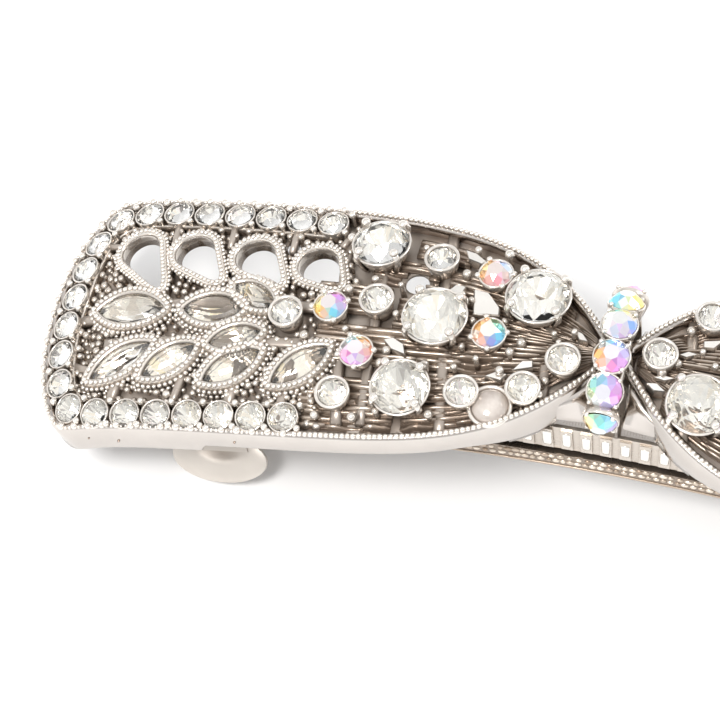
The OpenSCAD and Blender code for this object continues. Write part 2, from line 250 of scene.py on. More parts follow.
def resample(p, n, closed=False):
    p = np.asarray(p, float)
    if closed:
        p = np.vstack([p, p[:1]])
    L = np.r_[0, np.cumsum(np.linalg.norm(np.diff(p, axis=0), axis=1))]
    q = np.linspace(0, L[-1], n + 1 if closed else n)
    out = np.c_[np.interp(q, L, p[:, 0]), np.interp(q, L, p[:, 1])]
    return out[:-1] if closed else out


def smooth_path(p, n, rounds=3):
    """Chaikin-rounded open path, resampled to n points."""
    p = np.asarray(p, float)
    for _ in range(rounds):
        q = [p[0]]
        for a, b in zip(p[:-1], p[1:]):
            q += [a * .75 + b * .25, a * .25 + b * .75]
        q.append(p[-1])
        p = np.array(q)
    return resample(p, n)


def length(p, closed=False):
    p = np.asarray(p)
    if closed:
        p = np.vstack([p, p[:1]])
    return float(np.linalg.norm(np.diff(p, axis=0), axis=1).sum())


def place(o, x, y):
    """Local (x, y) in the frame of a feature whose axis runs from (o0,o1) to (o2,o3), as (s, v)."""
    d = math.atan2(o[3] - o[1], o[2] - o[0])
    c, s = math.cos(d), math.sin(d)
    return x * c - y * s, x * s + y * c


# ---------------------------------------------------------------- layout, as in the CAD
BIGS = [(-20.1, 6.7, .9, .9), (-14.3, .3, 1, 1.1), (-15.7, -6, .92, .9), (-6.9, 3.4, 1, 1.1)]
SMALLS = [(-26.1, -.4, .5), (-19.2, 1.4, .6), (-15.1, 5.9, .6), (-20.9, -6.9, .5), (-11, -5.6, .6),
          (-3.9, -1.7, .8), (-6.4, -4.6, .7)]
AURORAS = [(-22.6, .3, .8), (-19.7, -3.4, .8), (-10.6, 5.05, .8), (-9.9, -.5, .9)]
CAB = (-8.7, -6.1)
DROPS = [(-40.1, 5.3, -36.3, .1), (-35.4, 5.2, -31.6, 1.4), (-30.2, 5, -26.5, 1.5), (-24.9, 4.6, -21.9, 1.9)]
OVALS = [(-42.2, -.5, -36.4, -.3), (-34.8, -.3, -29.8, 0), (-31, 2.2, -27.4, .3), (-32, -3.3, -27.9, -1.9),
         (-41.5, -6.6, -36.7, -3.4), (-37, -6.3, -33, -3.4), (-31.8, -6.5, -27.6, -3.6), (-26.2, -6.3, -22.2, -2.8)]
OVAL_W = [3.35, 3.15, 2.6, 2.55, 2.75, 2.75, 2.85, 2.85]
RIM = [(-24.6, -9), (-30, -9.25), (-36, -9.45), (-40, -9.5), (-42.8, -9), (-44.2, -7), (-44.75, -4.5),
       (-45, -1.5), (-44.95, 1.5), (-44.8, 4.2), (-44.4, 6.7), (-43.1, 8.7), (-40.2, 9.1), (-36, 9.1),
       (-30, 9), (-24.8, 8.8)]
KNOT = [(1.45, 3.4, 6), (4.0, 2.3, 38), (5.62, .42, 94)]


def outline(n, k):
    out = []
    far = 47.1 - 3 - 1.6
    for i in range(n + 1):
        a = .5 + (far - .5) * i / n
        out.append((-a, -half_w(a)))
    W = half_w(44)
    for i in range(1, k):
        t = -1 + 2 * i / k
        q = math.pi / 2 * t
        y = W * math.copysign(abs(math.sin(q)) ** .62, t)
        x = 47.1 - .016 * y * y - 3.4 * (1 - max(0, math.cos(q)) ** .5)
        out.append((-x, y))
    for i in range(n, -1, -1):
        a = .5 + (far - .5) * i / n
        out.append((-a, half_w(a)))
    return np.array(out)


def smooth_closed(p, n, rounds=2):
    p = np.asarray(p, float)
    for _ in range(rounds):
        q = np.roll(p, -1, 0)
        p = np.stack([p * .75 + q * .25, p * .25 + q * .75], 1).reshape(-1, 2)
    return resample(p, n, True)


def ccw(p):
    p = np.asarray(p, float)
    a = (p[:, 0] * np.roll(p[:, 1], -1) - np.roll(p[:, 0], -1) * p[:, 1]).sum()
    return p if a > 0 else p[::-1]


def offset_path(p, d, closed=False):
    p = np.asarray(p, float)
    t = (np.roll(p, -1, 0) - np.roll(p, 1, 0)) if closed else np.gradient(p, axis=0)
    t /= np.linalg.norm(t, axis=1)[:, None]
    return p + np.c_[-t[:, 1], t[:, 0]] * d


def milgrain(m, path, r, pitch, h, closed=False, fine=False):
    n = max(2, int(round(length(path, closed) / pitch)))
    for q in resample(path, n, closed):
        k = r * rng.uniform(.93, 1.07)
        bead(m, P(q[0], q[1], h + rng.uniform(-.015, .015)), k, fine)


def ring_cup(m, s, v, h, r_in, r_out, top, bottom, r_low=None, n=40, deep_in=.8):
    """An open cup about a stone: outer wall, rounded rim, inner wall and a floor."""
    r_low = r_out * .86 if r_low is None else r_low
    t = (r_out - r_in) / 2
    prof = [(0, bottom), (r_low * .9, bottom), (r_low, bottom + .08), (r_out, top - t),
            (r_out - .3 * t, top - .2 * t), (r_in + t, top), (r_in + .3 * t, top - .2 * t), (r_in, top - t),
            (r_in * .97, top - .4), (r_low * .72, bottom + .1), (0, bottom + .1)]
    pts, faces = revolve(prof, n)
    # darker the deeper down the cup, and darker on its floor: painted shade
    dp = []
    for r, z in prof:
        k = (top - z) / max(.1, top - bottom)
        dp.append(min(1, max(0, k * 1.15 - .1)))
    dp[-1] = dp[-2] = deep_in
    dp[-3] = .5
    full = []
    for (r, z), d in zip(prof, dp):
        full += [d] if r < 1e-6 else [d] * n
    m.add(local(s, v, h, pts), faces, 0, True, full)


def gem_parts(r, crown, depth, table=.56, phase=0.0, girdle=.05):
    """Facets of a round brilliant with its girdle at z = 0: (crown points, crown faces, foil points, foil faces)."""
    hc, hp, rt, rs = crown, depth, table * r, .8 * r
    hs = hc * (r - rs * math.cos(math.pi / 8)) / (r - rt)
    c = lambda q, a, z: (q * math.cos(a + phase), q * math.sin(a + phase), z)
    e = math.pi / 4
    top = [c(rt, k * e, hc) for k in range(8)] + [c(rs, (k + .5) * e, hs) for k in range(8)] + \
          [c(r, k * e / 2, 0) for k in range(16)] + [c(r, k * e / 2, -girdle) for k in range(16)]
    cf = [tuple(range(8))]
    for k in range(8):
        cf.append((k, 8 + (k - 1) % 8, 16 + 2 * k, 8 + k))
        cf.append((k, 8 + k, (k + 1) % 8))
        cf.append((8 + k, 16 + 2 * k, 16 + 2 * k + 1))
        cf.append((8 + k, 16 + 2 * k + 1, 16 + (2 * k + 2) % 16))
    for k in range(16):
        cf.append((16 + k, 32 + k, 32 + (k + 1) % 16, 16 + (k + 1) % 16))
    cf.append(tuple(32 + k for k in range(16))[::-1])
    rl = .32 * r
    hl = -girdle - hp * (r - rl * math.cos(math.pi / 8)) / r
    foil = [(0, 0, -girdle - hp)] + [c(rl, (k + .5) * e, hl) for k in range(8)] + \
           [c(r * .985, k * e / 2, -girdle - .012) for k in range(16)]
    ff = []
    for k in range(8):
        ff.append((0, 1 + k, 9 + 2 * k, 1 + (k - 1) % 8))
        ff.append((1 + k, 9 + 2 * k + 1, 9 + 2 * k))
        ff.append((1 + k, 9 + (2 * k + 2) % 16, 9 + 2 * k + 1))
    return np.array(top), cf, np.array(foil), ff


def gem(m, s, v, h, r, crown, depth, palette, weights=None, table=.56, tilt=(0, 0), world=None, wash=None, turn=None):
    """A foiled round stone. Material 0 is the glass, 1 the foil behind it. world gives (point, 3x3 basis) off the wings."""
    top, cf, foil, ff = gem_parts(r, crown, depth, table, rng.uniform(0, math.pi / 4))
    if world is None:
        c, B = P(s, v, h), basis(s, v)
    else:
        c, B = world
    tx, ty = tilt
    T = np.array(Matrix.Rotation(tx, 3, "X") @ Matrix.Rotation(ty, 3, "Y"))
    B = B @ T
    pal = np.array(palette, float)
    if wash is None:
        m.add(c + top @ B.T, cf, 0, False, 0.0)
    else:       # the coating colours the crown as well, facet by facet, and drifts in hue round it
        # the coating's colours are painted in as fixed hues round the stone: a painted sheen
        wv = np.array(wash, float)
        ph = rng.uniform(0, 1) if turn is None else turn
        tt = []
        for fc in cf:
            p = top[list(fc)].mean(0)
            k = ((math.atan2(p[1], p[0]) / (2 * math.pi) + ph) % 1) * len(wv)
            i = int(k) % len(wv)
            w1 = wv[i] * (1 - k % 1) + wv[(i + 1) % len(wv)] * (k % 1)
            mix = .34 if turn is None else .12
            w1 = ((1 - mix) * w1 + mix * pal[rng.choice(len(pal), p=weights)]) ** 1.2
            # the table and about one facet in seven are mixed towards white: painted highlights
            if len(fc) == 8:
                w1 = .45 * wv.mean(0) + .55 * np.array([.97, .96, .95])
            elif rng.random() < .15:
                w1 = .35 * w1 + .65 * np.array([.97, .96, .95])
            tt.append(tuple(w1))
        m.add(c + top @ B.T, cf, 0, False, 0.0, tt)
    idx = rng.choice(len(pal), len(ff), p=weights)
    tint = pal[idx] * rng.uniform(.93, 1.0, (len(ff), 1))
    if wash is not None:   # a slow drift of hue round the stone, as on a coated stone
        # painted sheen of the coating, fixed round the stone
        a = np.array([math.atan2(foil[list(f)][:, 1].mean(), foil[list(f)][:, 0].mean()) for f in ff])
        a = a + (rng.uniform(0, 2 * math.pi) if turn is None else 2 * math.pi * turn)
        k = ((a / (2 * math.pi)) % 1 * len(wash))
        i0 = np.floor(k).astype(int) % len(wash)
        i1 = (i0 + 1) % len(wash)
        fr = (k - np.floor(k))[:, None]
        wv = np.array(wash, float)
        tint = .35 * tint + .65 * (wv[i0] * (1 - fr) + wv[i1] * fr)
    m.add(c + foil @ B.T, ff, 1, False, 0.0, tint)


# foil tints for clear stones, drawn facet by facet: mostly near white with some grey and a few near-black facets,
# painted reflections of the surroundings
CLEAR = [(1, .985, .95), (.98, .955, .91), (.82, .80, .77), (.98, .93, .84), (.6, .575, .55), (.96, .89, .89), (.34, .32, .31)]
CLEAR_W = [.46, .22, .12, .09, .06, .03, .02]
BIG_W = [.52, .26, .09, .09, .02, .02, 0]
AB = [(.12, .72, .92), (.93, .25, .72), (1, .42, .12), (1, .8, .2), (.22, .34, .95), (.95, .95, .95), (.45, .92, .62)]
AB_W = [.2, .2, .17, .1, .13, .12, .08]
WASH = [(.14, .74, .93), (.5, .55, .96), (.92, .3, .78), (1, .42, .22), (1, .78, .25), (.5, .92, .6)]
O_, Y_, C_, W_, K_, L_, M_, B_, G_, S_ = ((1, .58, .2), (1, .84, .34), (.33, .82, .96), (.95, .95, .95), (.97, .47, .6),
                                          (.7, .56, .95), (.88, .36, .78), (.32, .52, .95), (.6, .88, .56), (1, .57, .46))
# hues round each coated stone: right, back, left, front; the coating's colours painted in as fixed hues by side, a
# painted sheen
AB_FANS = [(L_, M_, W_, Y_, O_, C_), (S_, O_, C_, W_, M_, L_), (W_, B_, O_, Y_, S_, K_), (C_, G_, O_, O_, S_, B_)]
KNOT_FANS = [(L_, B_, C_, O_, S_, M_), (M_, L_, C_, G_, W_, L_), (L_, C_, G_, O_, C_, C_), (B_, Y_, G_, W_, W_, L_),
             (Y_, Y_, C_, C_, C_, Y_), (C_, L_, W_, Y_, S_, M_)]
# navette foil tints, facet by facet: the stones' warm smoky tone, with paler, yellow and darker facets as painted
# reflections and glints
SMOKE = [(.99, .97, .92), (.93, .9, .86), (.97, .9, .72), (.76, .69, .61), (.86, .81, .75), (.6, .54, .48)]
SMOKE_W = [.3, .24, .12, .12, .16, .06]


# ---------------------------------------------------------------- materials
def nodes_of(name):
    mat = bpy.data.materials.new(name)
    mat.use_nodes = True
    nt = mat.node_tree
    return mat, nt, nt.nodes["Principled BSDF"]


def link(nt, a, b):
    nt.links.new(a, b)


def ramp(nt, fac, stops):
    n = nt.nodes.new("ShaderNodeValToRGB")
    cr = n.color_ramp
    while len(cr.elements) > 1:
        cr.elements.remove(cr.elements[-1])
    for i, (p, c) in enumerate(stops):
        el = cr.elements[0] if i == 0 else cr.elements.new(p)
        el.position = p
        el.color = (*c, 1) if len(c) == 3 else (c[0],) * 3 + (1,)
    link(nt, fac, n.inputs["Fac"])
    return n.outputs["Color"]


def noise(nt, scale, detail=3, rough=.55):
    tc = nt.nodes.new("ShaderNodeTexCoord")
    n = nt.nodes.new("ShaderNodeTexNoise")
    n.inputs["Scale"].default_value = scale
    n.inputs["Detail"].default_value = detail
    n.inputs["Roughness"].default_value = rough
    link(nt, tc.outputs["Object"], n.inputs["Vector"])
    return n.outputs["Fac"]


def metal(name, colour, dark, rough=(.12, .3), grain=900, ao=.5, bump=.0, reach=.0008, depth=True, metallic=1.0):
    """Plated metal: a bright face, darker where the surface is deep or closed in (painted shade, with some tarnish in
    the hollows), and fine variation in gloss.
    """
    mat, nt, b = nodes_of(name)
    b.inputs["Metallic"].default_value = metallic
    n = noise(nt, grain)
    tone = ramp(nt, n, [(.3, tuple(c * .93 for c in colour)), (.7, colour)])
    fac = None
    # the point's depth value darkens recesses: painted shade, with some tarnish
    if depth:
        at = nt.nodes.new("ShaderNodeAttribute")
        at.attribute_name = "deep"
        fac = at.outputs["Fac"]
    # ambient occlusion darkens closed-in places: painted shade
    if ao:
        a = nt.nodes.new("ShaderNodeAmbientOcclusion")
        a.samples = 6
        a.inputs["Distance"].default_value = reach
        inv = nt.nodes.new("ShaderNodeMapRange")
        inv.inputs["From Min"].default_value = .95
        inv.inputs["From Max"].default_value = .25
        inv.inputs["To Min"].default_value = 0
        inv.inputs["To Max"].default_value = ao
        link(nt, a.outputs["AO"], inv.inputs["Value"])
        if fac is None:
            fac = inv.outputs["Result"]
        else:
            mx = nt.nodes.new("ShaderNodeMath")
            mx.operation = "ADD"
            mx.use_clamp = True
            link(nt, fac, mx.inputs[0])
            link(nt, inv.outputs["Result"], mx.inputs[1])
            fac = mx.outputs[0]
    if fac is not None:
        mix = nt.nodes.new("ShaderNodeMix")
        mix.data_type = "RGBA"
        link(nt, fac, mix.inputs["Factor"])
        link(nt, tone, mix.inputs["A"])
        mix.inputs["B"].default_value = (*dark, 1)
        tone = mix.outputs["Result"]
    link(nt, tone, b.inputs["Base Color"])
    rr = ramp(nt, noise(nt, grain * .37, 4), [(.3, (rough[0],)), (.75, (rough[1],))])
    link(nt, rr, b.inputs["Roughness"])
    if bump:
        bp = nt.nodes.new("ShaderNodeBump")
        bp.inputs["Strength"].default_value = bump
        bp.inputs["Distance"].default_value = .00003
        link(nt, noise(nt, grain * .8, 4), bp.inputs["Height"])
        link(nt, bp.outputs["Normal"], b.inputs["Normal"])
    return mat


def glass(name, colour=(1, 1, 1), ior=1.56, rough=.0):
    mat, nt, b = nodes_of(name)
    tone = ramp(nt, noise(nt, 400), [(.35, tuple(c * .985 for c in colour)), (.65, colour)])
    link(nt, tone, b.inputs["Base Color"])
    b.inputs["Transmission Weight"].default_value = 1.0
    b.inputs["IOR"].default_value = ior
    b.inputs["Roughness"].default_value = rough
    return mat


def foil(name, rough=.06):
    """Mirror foil behind a stone, tinted facet by facet; the tints hold painted reflections, painted highlights and the
    coating's painted sheen.
    """
    mat, nt, b = nodes_of(name)
    at = nt.nodes.new("ShaderNodeAttribute")
    at.attribute_name = "tint"
    mix = nt.nodes.new("ShaderNodeMix")
    mix.data_type = "RGBA"
    mix.blend_type = "MULTIPLY"
    mix.inputs["Factor"].default_value = 1
    link(nt, at.outputs["Color"], mix.inputs["A"])
    link(nt, ramp(nt, noise(nt, 1500), [(.3, (.93, .93, .93)), (.7, (1, 1, 1))]), mix.inputs["B"])
    link(nt, mix.outputs["Result"], b.inputs["Base Color"])
    b.inputs["Metallic"].default_value = 1.0
    b.inputs["Roughness"].default_value = rough
    return mat


# The casting is one plated silver. DEEPM, PLEAT and WALLM are darker copies of it and FLATM a brighter one: painted
# shade in the recessed back and web, in the pleats and on the wall, and a painted highlight on the polished flats and
# flange pads; DEEPM also carries oxide in the hollows.
SILVER = metal("plated_silver", (.84, .795, .74), (.34, .27, .21), (.13, .28), 900, .35, .12, metallic=.8)
DEEPM = metal("oxidised_and_shaded_silver", (.47, .415, .365), (.2, .16, .13), (.22, .42), 700, .4, .3, metallic=.45)
PLEAT = metal("pleated_silver", (.57, .50, .43), (.27, .21, .165), (.16, .32), 900, .3, .15, metallic=.6)
FLATM = metal("polished_flats_with_painted_highlight", (.95, .92, .87), (.4, .33, .27), (.12, .22), 500, .3, .03, metallic=.85)
WALLM = metal("polished_silver_wall", (.62, .58, .545), (.3, .24, .2), (.1, .2), 500, .3, .05)
CRYSTAL, FOIL = glass("crystal_glass", (1, .995, .975), 1.52), foil("crystal_foil", .09)
ABGLASS = foil("aurora_glass", .07)
_b = ABGLASS.node_tree.nodes["Principled BSDF"]
_b.inputs["Metallic"].default_value = .72
_b.inputs["Coat Weight"].default_value = .5
NAVETTE = glass("navette_glass", (1, .98, .94))
PEARL, _nt, _b = nodes_of("pale_cabochon")
link(_nt, ramp(_nt, noise(_nt, 700), [(.3, (.44, .38, .34)), (.7, (.68, .62, .57))]), _b.inputs["Base Color"])
_b.inputs["Roughness"].default_value = .12
_b.inputs["Metallic"].default_value = .35
_b.inputs["Coat Weight"].default_value = .8
# the clip's metals take stronger, wider ambient occlusion, strongest on the arm under the wings: painted shade
CLIP = metal("clip_steel", (.66, .60, .535), (.2, .15, .11), (.2, .36), 700, .55, .1, .0014, False, metallic=.75)
ARMM = metal("arm_steel", (.33, .27, .22), (.03, .02, .014), (.22, .4), 1400, .95, .25, .003, False, metallic=.75)
BRASSY = metal("worn_gilt_beading", (.86, .775, .67), (.36, .27, .2), (.26, .42), 1200, .4, .1, metallic=.8)
EAR = metal("ear_metal", (.665, .615, .56), (.36, .3, .25), (.3, .45), 300, .2, .04, .0015, True, metallic=.6)
SPRING = metal("spring_steel", (.72, .73, .75), (.12, .11, .1), (.12, .28), 800, .4, .08, .0012, False)
RIVET = metal("rivet_steel", (.8, .78, .75), (.14, .12, .1), (.15, .3), 900, .4, .1, .0008, False)


# ---------------------------------------------------------------- left wing casting
def wall_piece():
    m = Mesh()
    path = outline(46, 60)
    sec = [(0, -.25), (0, -1.95), (-.1, -2.18), (-.3, -2.3), (-.55, -2.3), (-.72, -2.1), (-.72, -.25), (-.62, -.06),
           (-.36, .02), (-.1, -.04)]
    # the section darkens low down and up its inner face: painted shade
    dp = [0, .03, .1, .25, .4, .75, .35, .12, .0, 0]
    path = resample(path, 420)

    def low(q, sc):
        """The wall is deeper towards the waist and along the outer third of the long sides."""
        st = lambda x: float(np.clip(x, 0, 1) ** 2 * (3 - 2 * np.clip(x, 0, 1)))
        e = 1.3 * st((q[0] + 11) / 6.5) + (.75 * st((-31.4 - q[0]) / .5) * st((q[0] + 45.5) / 2.5) if abs(q[1]) > 9 else 0)
        return np.where(sc[:, 1] < -1.5, -e, 0)
    sweep(m, path, sec, False, dp, True, low)
    for sgn in (-1, 1):     # the wall's foot spreads to the base plate beside the knot
        a = np.linspace(1.25, 7.2, 26)
        wt, wb = half_w(a) - .05, np.maximum(4.72, half_w(a) - .12)
        rows = [(wt, -.9), (wt + (wb - wt) * .35, -1.7), (wt + (wb - wt) * .8, -2.8), (wb, -3.82), (wb - .3, -3.82),
                (wt + (wb - wt) * .8 - .3, -2.9), (wt + (wb - wt) * .35 - .3, -1.9), (wt - .3, -1.2)]
        verts, f, k = [], [], len(rows)
        x = np.clip((11 - a) / 6.5, 0, 1)
        foot = np.minimum(1, (1.42 + 1.3 * x * x * (3 - 2 * x) + .1) / 2.92)
        for i in range(len(a)):
            for v_, h_ in rows:
                verts.append((-a[i], sgn * v_[i], -.9 + (h_ + .9) * foot[i]))
        V = np.array(verts)
        for i in range(len(a) - 1):
            for j in range(k):
                q = (i * k + j, i * k + (j + 1) % k, (i + 1) * k + (j + 1) % k, (i + 1) * k + j)
                f.append(q if sgn < 0 else q[::-1])
        f.append(tuple(range(k)) if sgn > 0 else tuple(range(k))[::-1])
        f.append(tuple((len(a) - 1) * k + j for j in (range(k) if sgn < 0 else reversed(range(k)))))
        # darker on the foot's inner side and low down: painted shade
        m.add(P(V[:, 0], V[:, 1], V[:, 2]), f, 0, True, np.tile([0, 0, .05, .2, .6, .7, .7, .6], len(a)))
    # the burrs are painted dark, as the shade of small pits
    pits = [(-41.2, -1.25, .09), (-38.7, -1.75, .12), (-28.6, -1.2, .11)]
    for a, h, r in pits:    # small casting burrs on the front face
        c = P(a, -half_w(-a) - .02, h)
        bead(m, c, r, True, basis(a, -10), .6, 0, .9)
    return m, path


def rim_spots():
    return resample(RIM, 22)


def rim_piece():
    m = Mesh()
    path = resample(smooth_path(RIM, 400, 2), 150)
    # two rails the cups stand between
    for d in (.9, -1.12):
        sec = [(d + .13, -.32), (d + .13, -1.25), (d - .13, -1.25), (d - .13, -.32), (d, -.24)]
        sweep(m, path, sec, False, [.4, 1, 1, .4, .2])
    sp = rim_spots()
    for i, q in enumerate(sp):
        ring_cup(m, q[0], q[1], 0, 1.12, 1.26, .12, -1.22, 1.12, 36)
    # shared prongs: a ball outside and one inside every gap, each on its own stem
    for i in range(-1, len(sp)):
        if i < 0:
            a, b = sp[0] + (sp[0] - sp[1]), sp[0]
        elif i == len(sp) - 1:
            a, b = sp[i], sp[i] + (sp[i] - sp[i - 1])
        else:
            a, b = sp[i], sp[i + 1]
        mid = (a + b) / 2
        t = (b - a) / np.linalg.norm(b - a)
        nm = np.array([-t[1], t[0]])
        for off, r in ((.93, .27), (-.93, .25)):
            c = mid + nm * off
            prof = [(0, -.9), (.2, -.9), (.2, .08), (.26, .2), (0, .2)]
            pts, fc = revolve(prof, 8)
            m.add(local(c[0], c[1], 0, pts), fc, 0, True, .15)
            bead(m, P(c[0], c[1], .27), r * rng.uniform(.95, 1.05), True)
    return m


def milgrain_piece():
    m = Mesh()
    for sgn in (-1, 1):
        a = np.linspace(1.1, 23.4, 160)
        w = half_w(a)
        p = np.c_[-a, sgn * w]
        t = np.gradient(p, axis=0)
        t /= np.linalg.norm(t, axis=1)[:, None]
        nm = np.c_[-t[:, 1], t[:, 0]] * (1 if sgn > 0 else -1)
        milgrain(m, p + nm * .3, .225, .42, .08, fine=True)
    ring = outline(60, 80)
    ring = ring[ring[:, 0] < -24]
    t = np.gradient(ring, axis=0)
    t /= np.linalg.norm(t, axis=1)[:, None]
    nm = np.c_[-t[:, 1], t[:, 0]]
    if (nm[len(nm) // 2] @ [1, 0]) < 0:
        nm = -nm
    k = max(2, int(round(length(ring) / 1.25)))
    for q in resample(ring + nm * .3, k):
        bead(m, P(q[0], q[1], .1 + rng.uniform(-.04, .04)), rng.uniform(.27, .33), True)
    milgrain(m, ring + nm * .26, .17, .42, -.02)
    return m


def drop_outline(r, d, n):
    q = math.acos(r / d)
    t = q + (2 * math.pi - 2 * q) * np.arange(n + 1) / n
    return np.vstack([np.c_[r * np.cos(t), r * np.sin(t)], [[d, 0]]])


def loops_piece():
    m = Mesh()
    for o in DROPS:
        d = math.hypot(o[2] - o[0], o[3] - o[1])
        base = smooth_closed(ccw(drop_outline(1.86, d - .1, 30)), 64, 2)
        w = np.array([place(o, x, y) for x, y in base]) + [o[0], o[1]]
        sec = [(-.3, -.05), (-.27, -1.35), (.4, -1.35), (.28, -.3), (.2, .12), (0, .19), (-.2, .12)]
        sweep(m, w, sec, True, [.05, .9, .9, .25, 0, 0, 0])
        milgrain(m, w, .185, .38, .16, True)
        milgrain(m, offset_path(w, -.36, True), .17, .4, -.16, True)
    return m


def lens_outline(l, w, n):
    r = (l * l + w * w) / (4 * w)
    q = math.asin(min(1, l / 2 / r))
    t = np.linspace(-q, q, n + 1)
    up = np.c_[r * np.sin(t), w / 2 - r + r * np.cos(t)]
    return np.vstack([up, np.c_[up[1:-1][::-1, 0], -up[1:-1][::-1, 1]]])


def oval_frame(o):
    return (o[0] + o[2]) / 2, (o[1] + o[3]) / 2, math.hypot(o[2] - o[0], o[3] - o[1])


def on_oval(o, pts, h):
    """Local (x, y) about the middle of a pointed oval, and heights, as world points that follow the surface."""
    ms, mv, _ = oval_frame(o)
    pts = np.asarray(pts, float)
    d = math.atan2(o[3] - o[1], o[2] - o[0])
    c, s = math.cos(d), math.sin(d)
    return P(ms + pts[:, 0] * c - pts[:, 1] * s, mv + pts[:, 0] * s + pts[:, 1] * c, h)


def bezels_piece():
    m = Mesh()
    for o, W in zip(OVALS, OVAL_W):
        ms, mv, L = oval_frame(o)
        ring = smooth_closed(ccw(lens_outline(L + .75, W, 18)), 70, 1)
        d = math.atan2(o[3] - o[1], o[2] - o[0])
        c, s = math.cos(d), math.sin(d)
        w = np.c_[ms + ring[:, 0] * c - ring[:, 1] * s, mv + ring[:, 0] * s + ring[:, 1] * c]
        # outward is positive for a clockwise path, so turn the ring round
        w = w[::-1]
        sec = [(-.34, .02), (-.3, -1.15), (.22, -1.15), (.26, -.1), (.1, .1), (-.16, .14)]
        sweep(m, w, sec, True, [.35, 1, .9, .3, .05, .05])
        milgrain(m, offset_path(w, .06, True), .215, .43, .14, True, True)
        milgrain(m, offset_path(w, .42, True), .2, .46, -.26, True)
        milgrain(m, offset_path(w, .56, True), .2, .5, -.68, True)
    return m


def navettes_piece():
    m = Mesh()
    for o, W in zip(OVALS, OVAL_W):
        ms, mv, L = oval_frame(o)
        n = 8
        l0, w0 = L + .1, W - .63
        rim = ccw(lens_outline(l0, w0, n))
        k = len(rim)
        mid = ccw(lens_outline(l0 * .78, w0 * .66, n))
        tab = ccw(lens_outline(l0 * .52, w0 * .34, n))
        # crown: girdle, a belt of kites, table
        lift_ = .02
        pts = np.vstack([on_oval(o, rim, -.22 + lift_), on_oval(o, rim, -.12 + lift_), on_oval(o, mid, .2 + lift_),
                         on_oval(o, tab, .36 + lift_)])
        f = []
        for i in range(k):
            j = (i + 1) % k
            f.append((i, j, k + j, k + i))
            if i % 2 == 0:
                f += [(k + i, k + j, 2 * k + j), (k + i, 2 * k + j, 2 * k + i)]
            else:
                f += [(k + i, k + j, 2 * k + i), (k + j, 2 * k + j, 2 * k + i)]
            if i % 2 == 1:
                f += [(2 * k + i, 2 * k + j, 3 * k + j), (2 * k + i, 3 * k + j, 3 * k + i)]
            else:
                f += [(2 * k + i, 2 * k + j, 3 * k + i), (2 * k + j, 3 * k + j, 3 * k + i)]
        f.append(tuple(3 * k + i for i in range(k)))
        f.append(tuple(i for i in range(k))[::-1])
        m.add(pts, f, 0, False)
        # foil behind it: a keel along the middle, facets down from the girdle
        n2 = 6
        rim = ccw(lens_outline(l0 * .985, w0 * .975, n2))
        kk = len(rim)
        keel = np.array([[x, y] for x, y in zip(np.linspace(-l0 * .3, l0 * .3, 4), [0, .0, .0, 0])])
        fp = np.vstack([on_oval(o, rim, -.24 + lift_), on_oval(o, keel, -.78)])
        ff = []
        near = [int(np.argmin(np.abs(keel[:, 0] - (x * .62)))) for x in rim[:, 0]]
        for i in range(kk):
            j = (i + 1) % kk
            ff.append((i, kk + near[i], j))
            if near[i] != near[j]:
                ff.append((kk + near[i], kk + near[j], j))
        pal = np.array(SMOKE)
        tint = pal[rng.choice(len(pal), len(ff), p=SMOKE_W)]
        m.add(fp, ff, 1, False, 0, tint)
    return m


RIBBONS = [  # share of the half width at both sides, from s to s, ridges, height, tilt across the ribbon
    (-.95, -.73, -5.0, -15.5, 4, -.35, .1), (-.71, -.41, -1.7, -16.8, 6, -.25, -.15), (-.39, -.05, -1.5, -23.6, 6, -.2, .2),
    (-.03, .27, -1.5, -17.8, 6, -.25, -.1), (.29, .61, -1.6, -14.2, 6, -.15, .2), (.63, .88, -4.0, -12.5, 5, -.4, -.1),
    (-.80, -.50, -17.6, -24.0, 5, -.4, .0), (.08, .36, -18.6, -24.5, 5, -.4, .0), (.40, .66, -15.2, -20.5, 5, -.45, .0),
    (-.95, -.78, -16.2, -23.5, 3, -.5, .0), (.72, .92, -13.2, -17.6, 3, -.5, .0)]


HOLE = (-16.95, 4.35, .95)         # a small opening beside the middle stone
PITS = [(-10.5, -2.8, .95), (-6.4, -6.3, .8), (-19.2, -8.7, .8), (-15.6, -8.5, .7), (-22.2, 4.6, .9), (-5.1, -2.9, .6),
        (-16.9, -9.0, .6), (-12.9, -8.4, .7), (-18.4, 4.2, .7), (-12.3, -1.5, .6), (-8.2, 6.9, .6)]


def hollow(s, v):
    """0 on open ribbon, up to 1 beside the stones and in the pits between them: painted shade beside the stones, with
    some dirt, and painted shade in the pits.
    """
    s, v = np.asarray(s, float), np.asarray(v, float)
    d = np.full(s.shape, 9.0)
    for a, b, r in [(a, b, 2.55 * k) for a, b, k, _ in BIGS] + [(a, b, 1.4) for a, b, _ in SMALLS + AURORAS] + [(CAB[0], CAB[1], 1.75)]:
        d = np.minimum(d, np.hypot(s - a, v - b) - r)
    halo = .7 * np.exp(-np.maximum(d, 0) / .38)
    pit = np.zeros(s.shape)
    for a, b, r in PITS:
        pit = np.maximum(pit, np.exp(-(np.hypot((s - a) * .8, v - b) / r) ** 4))
    return halo, pit


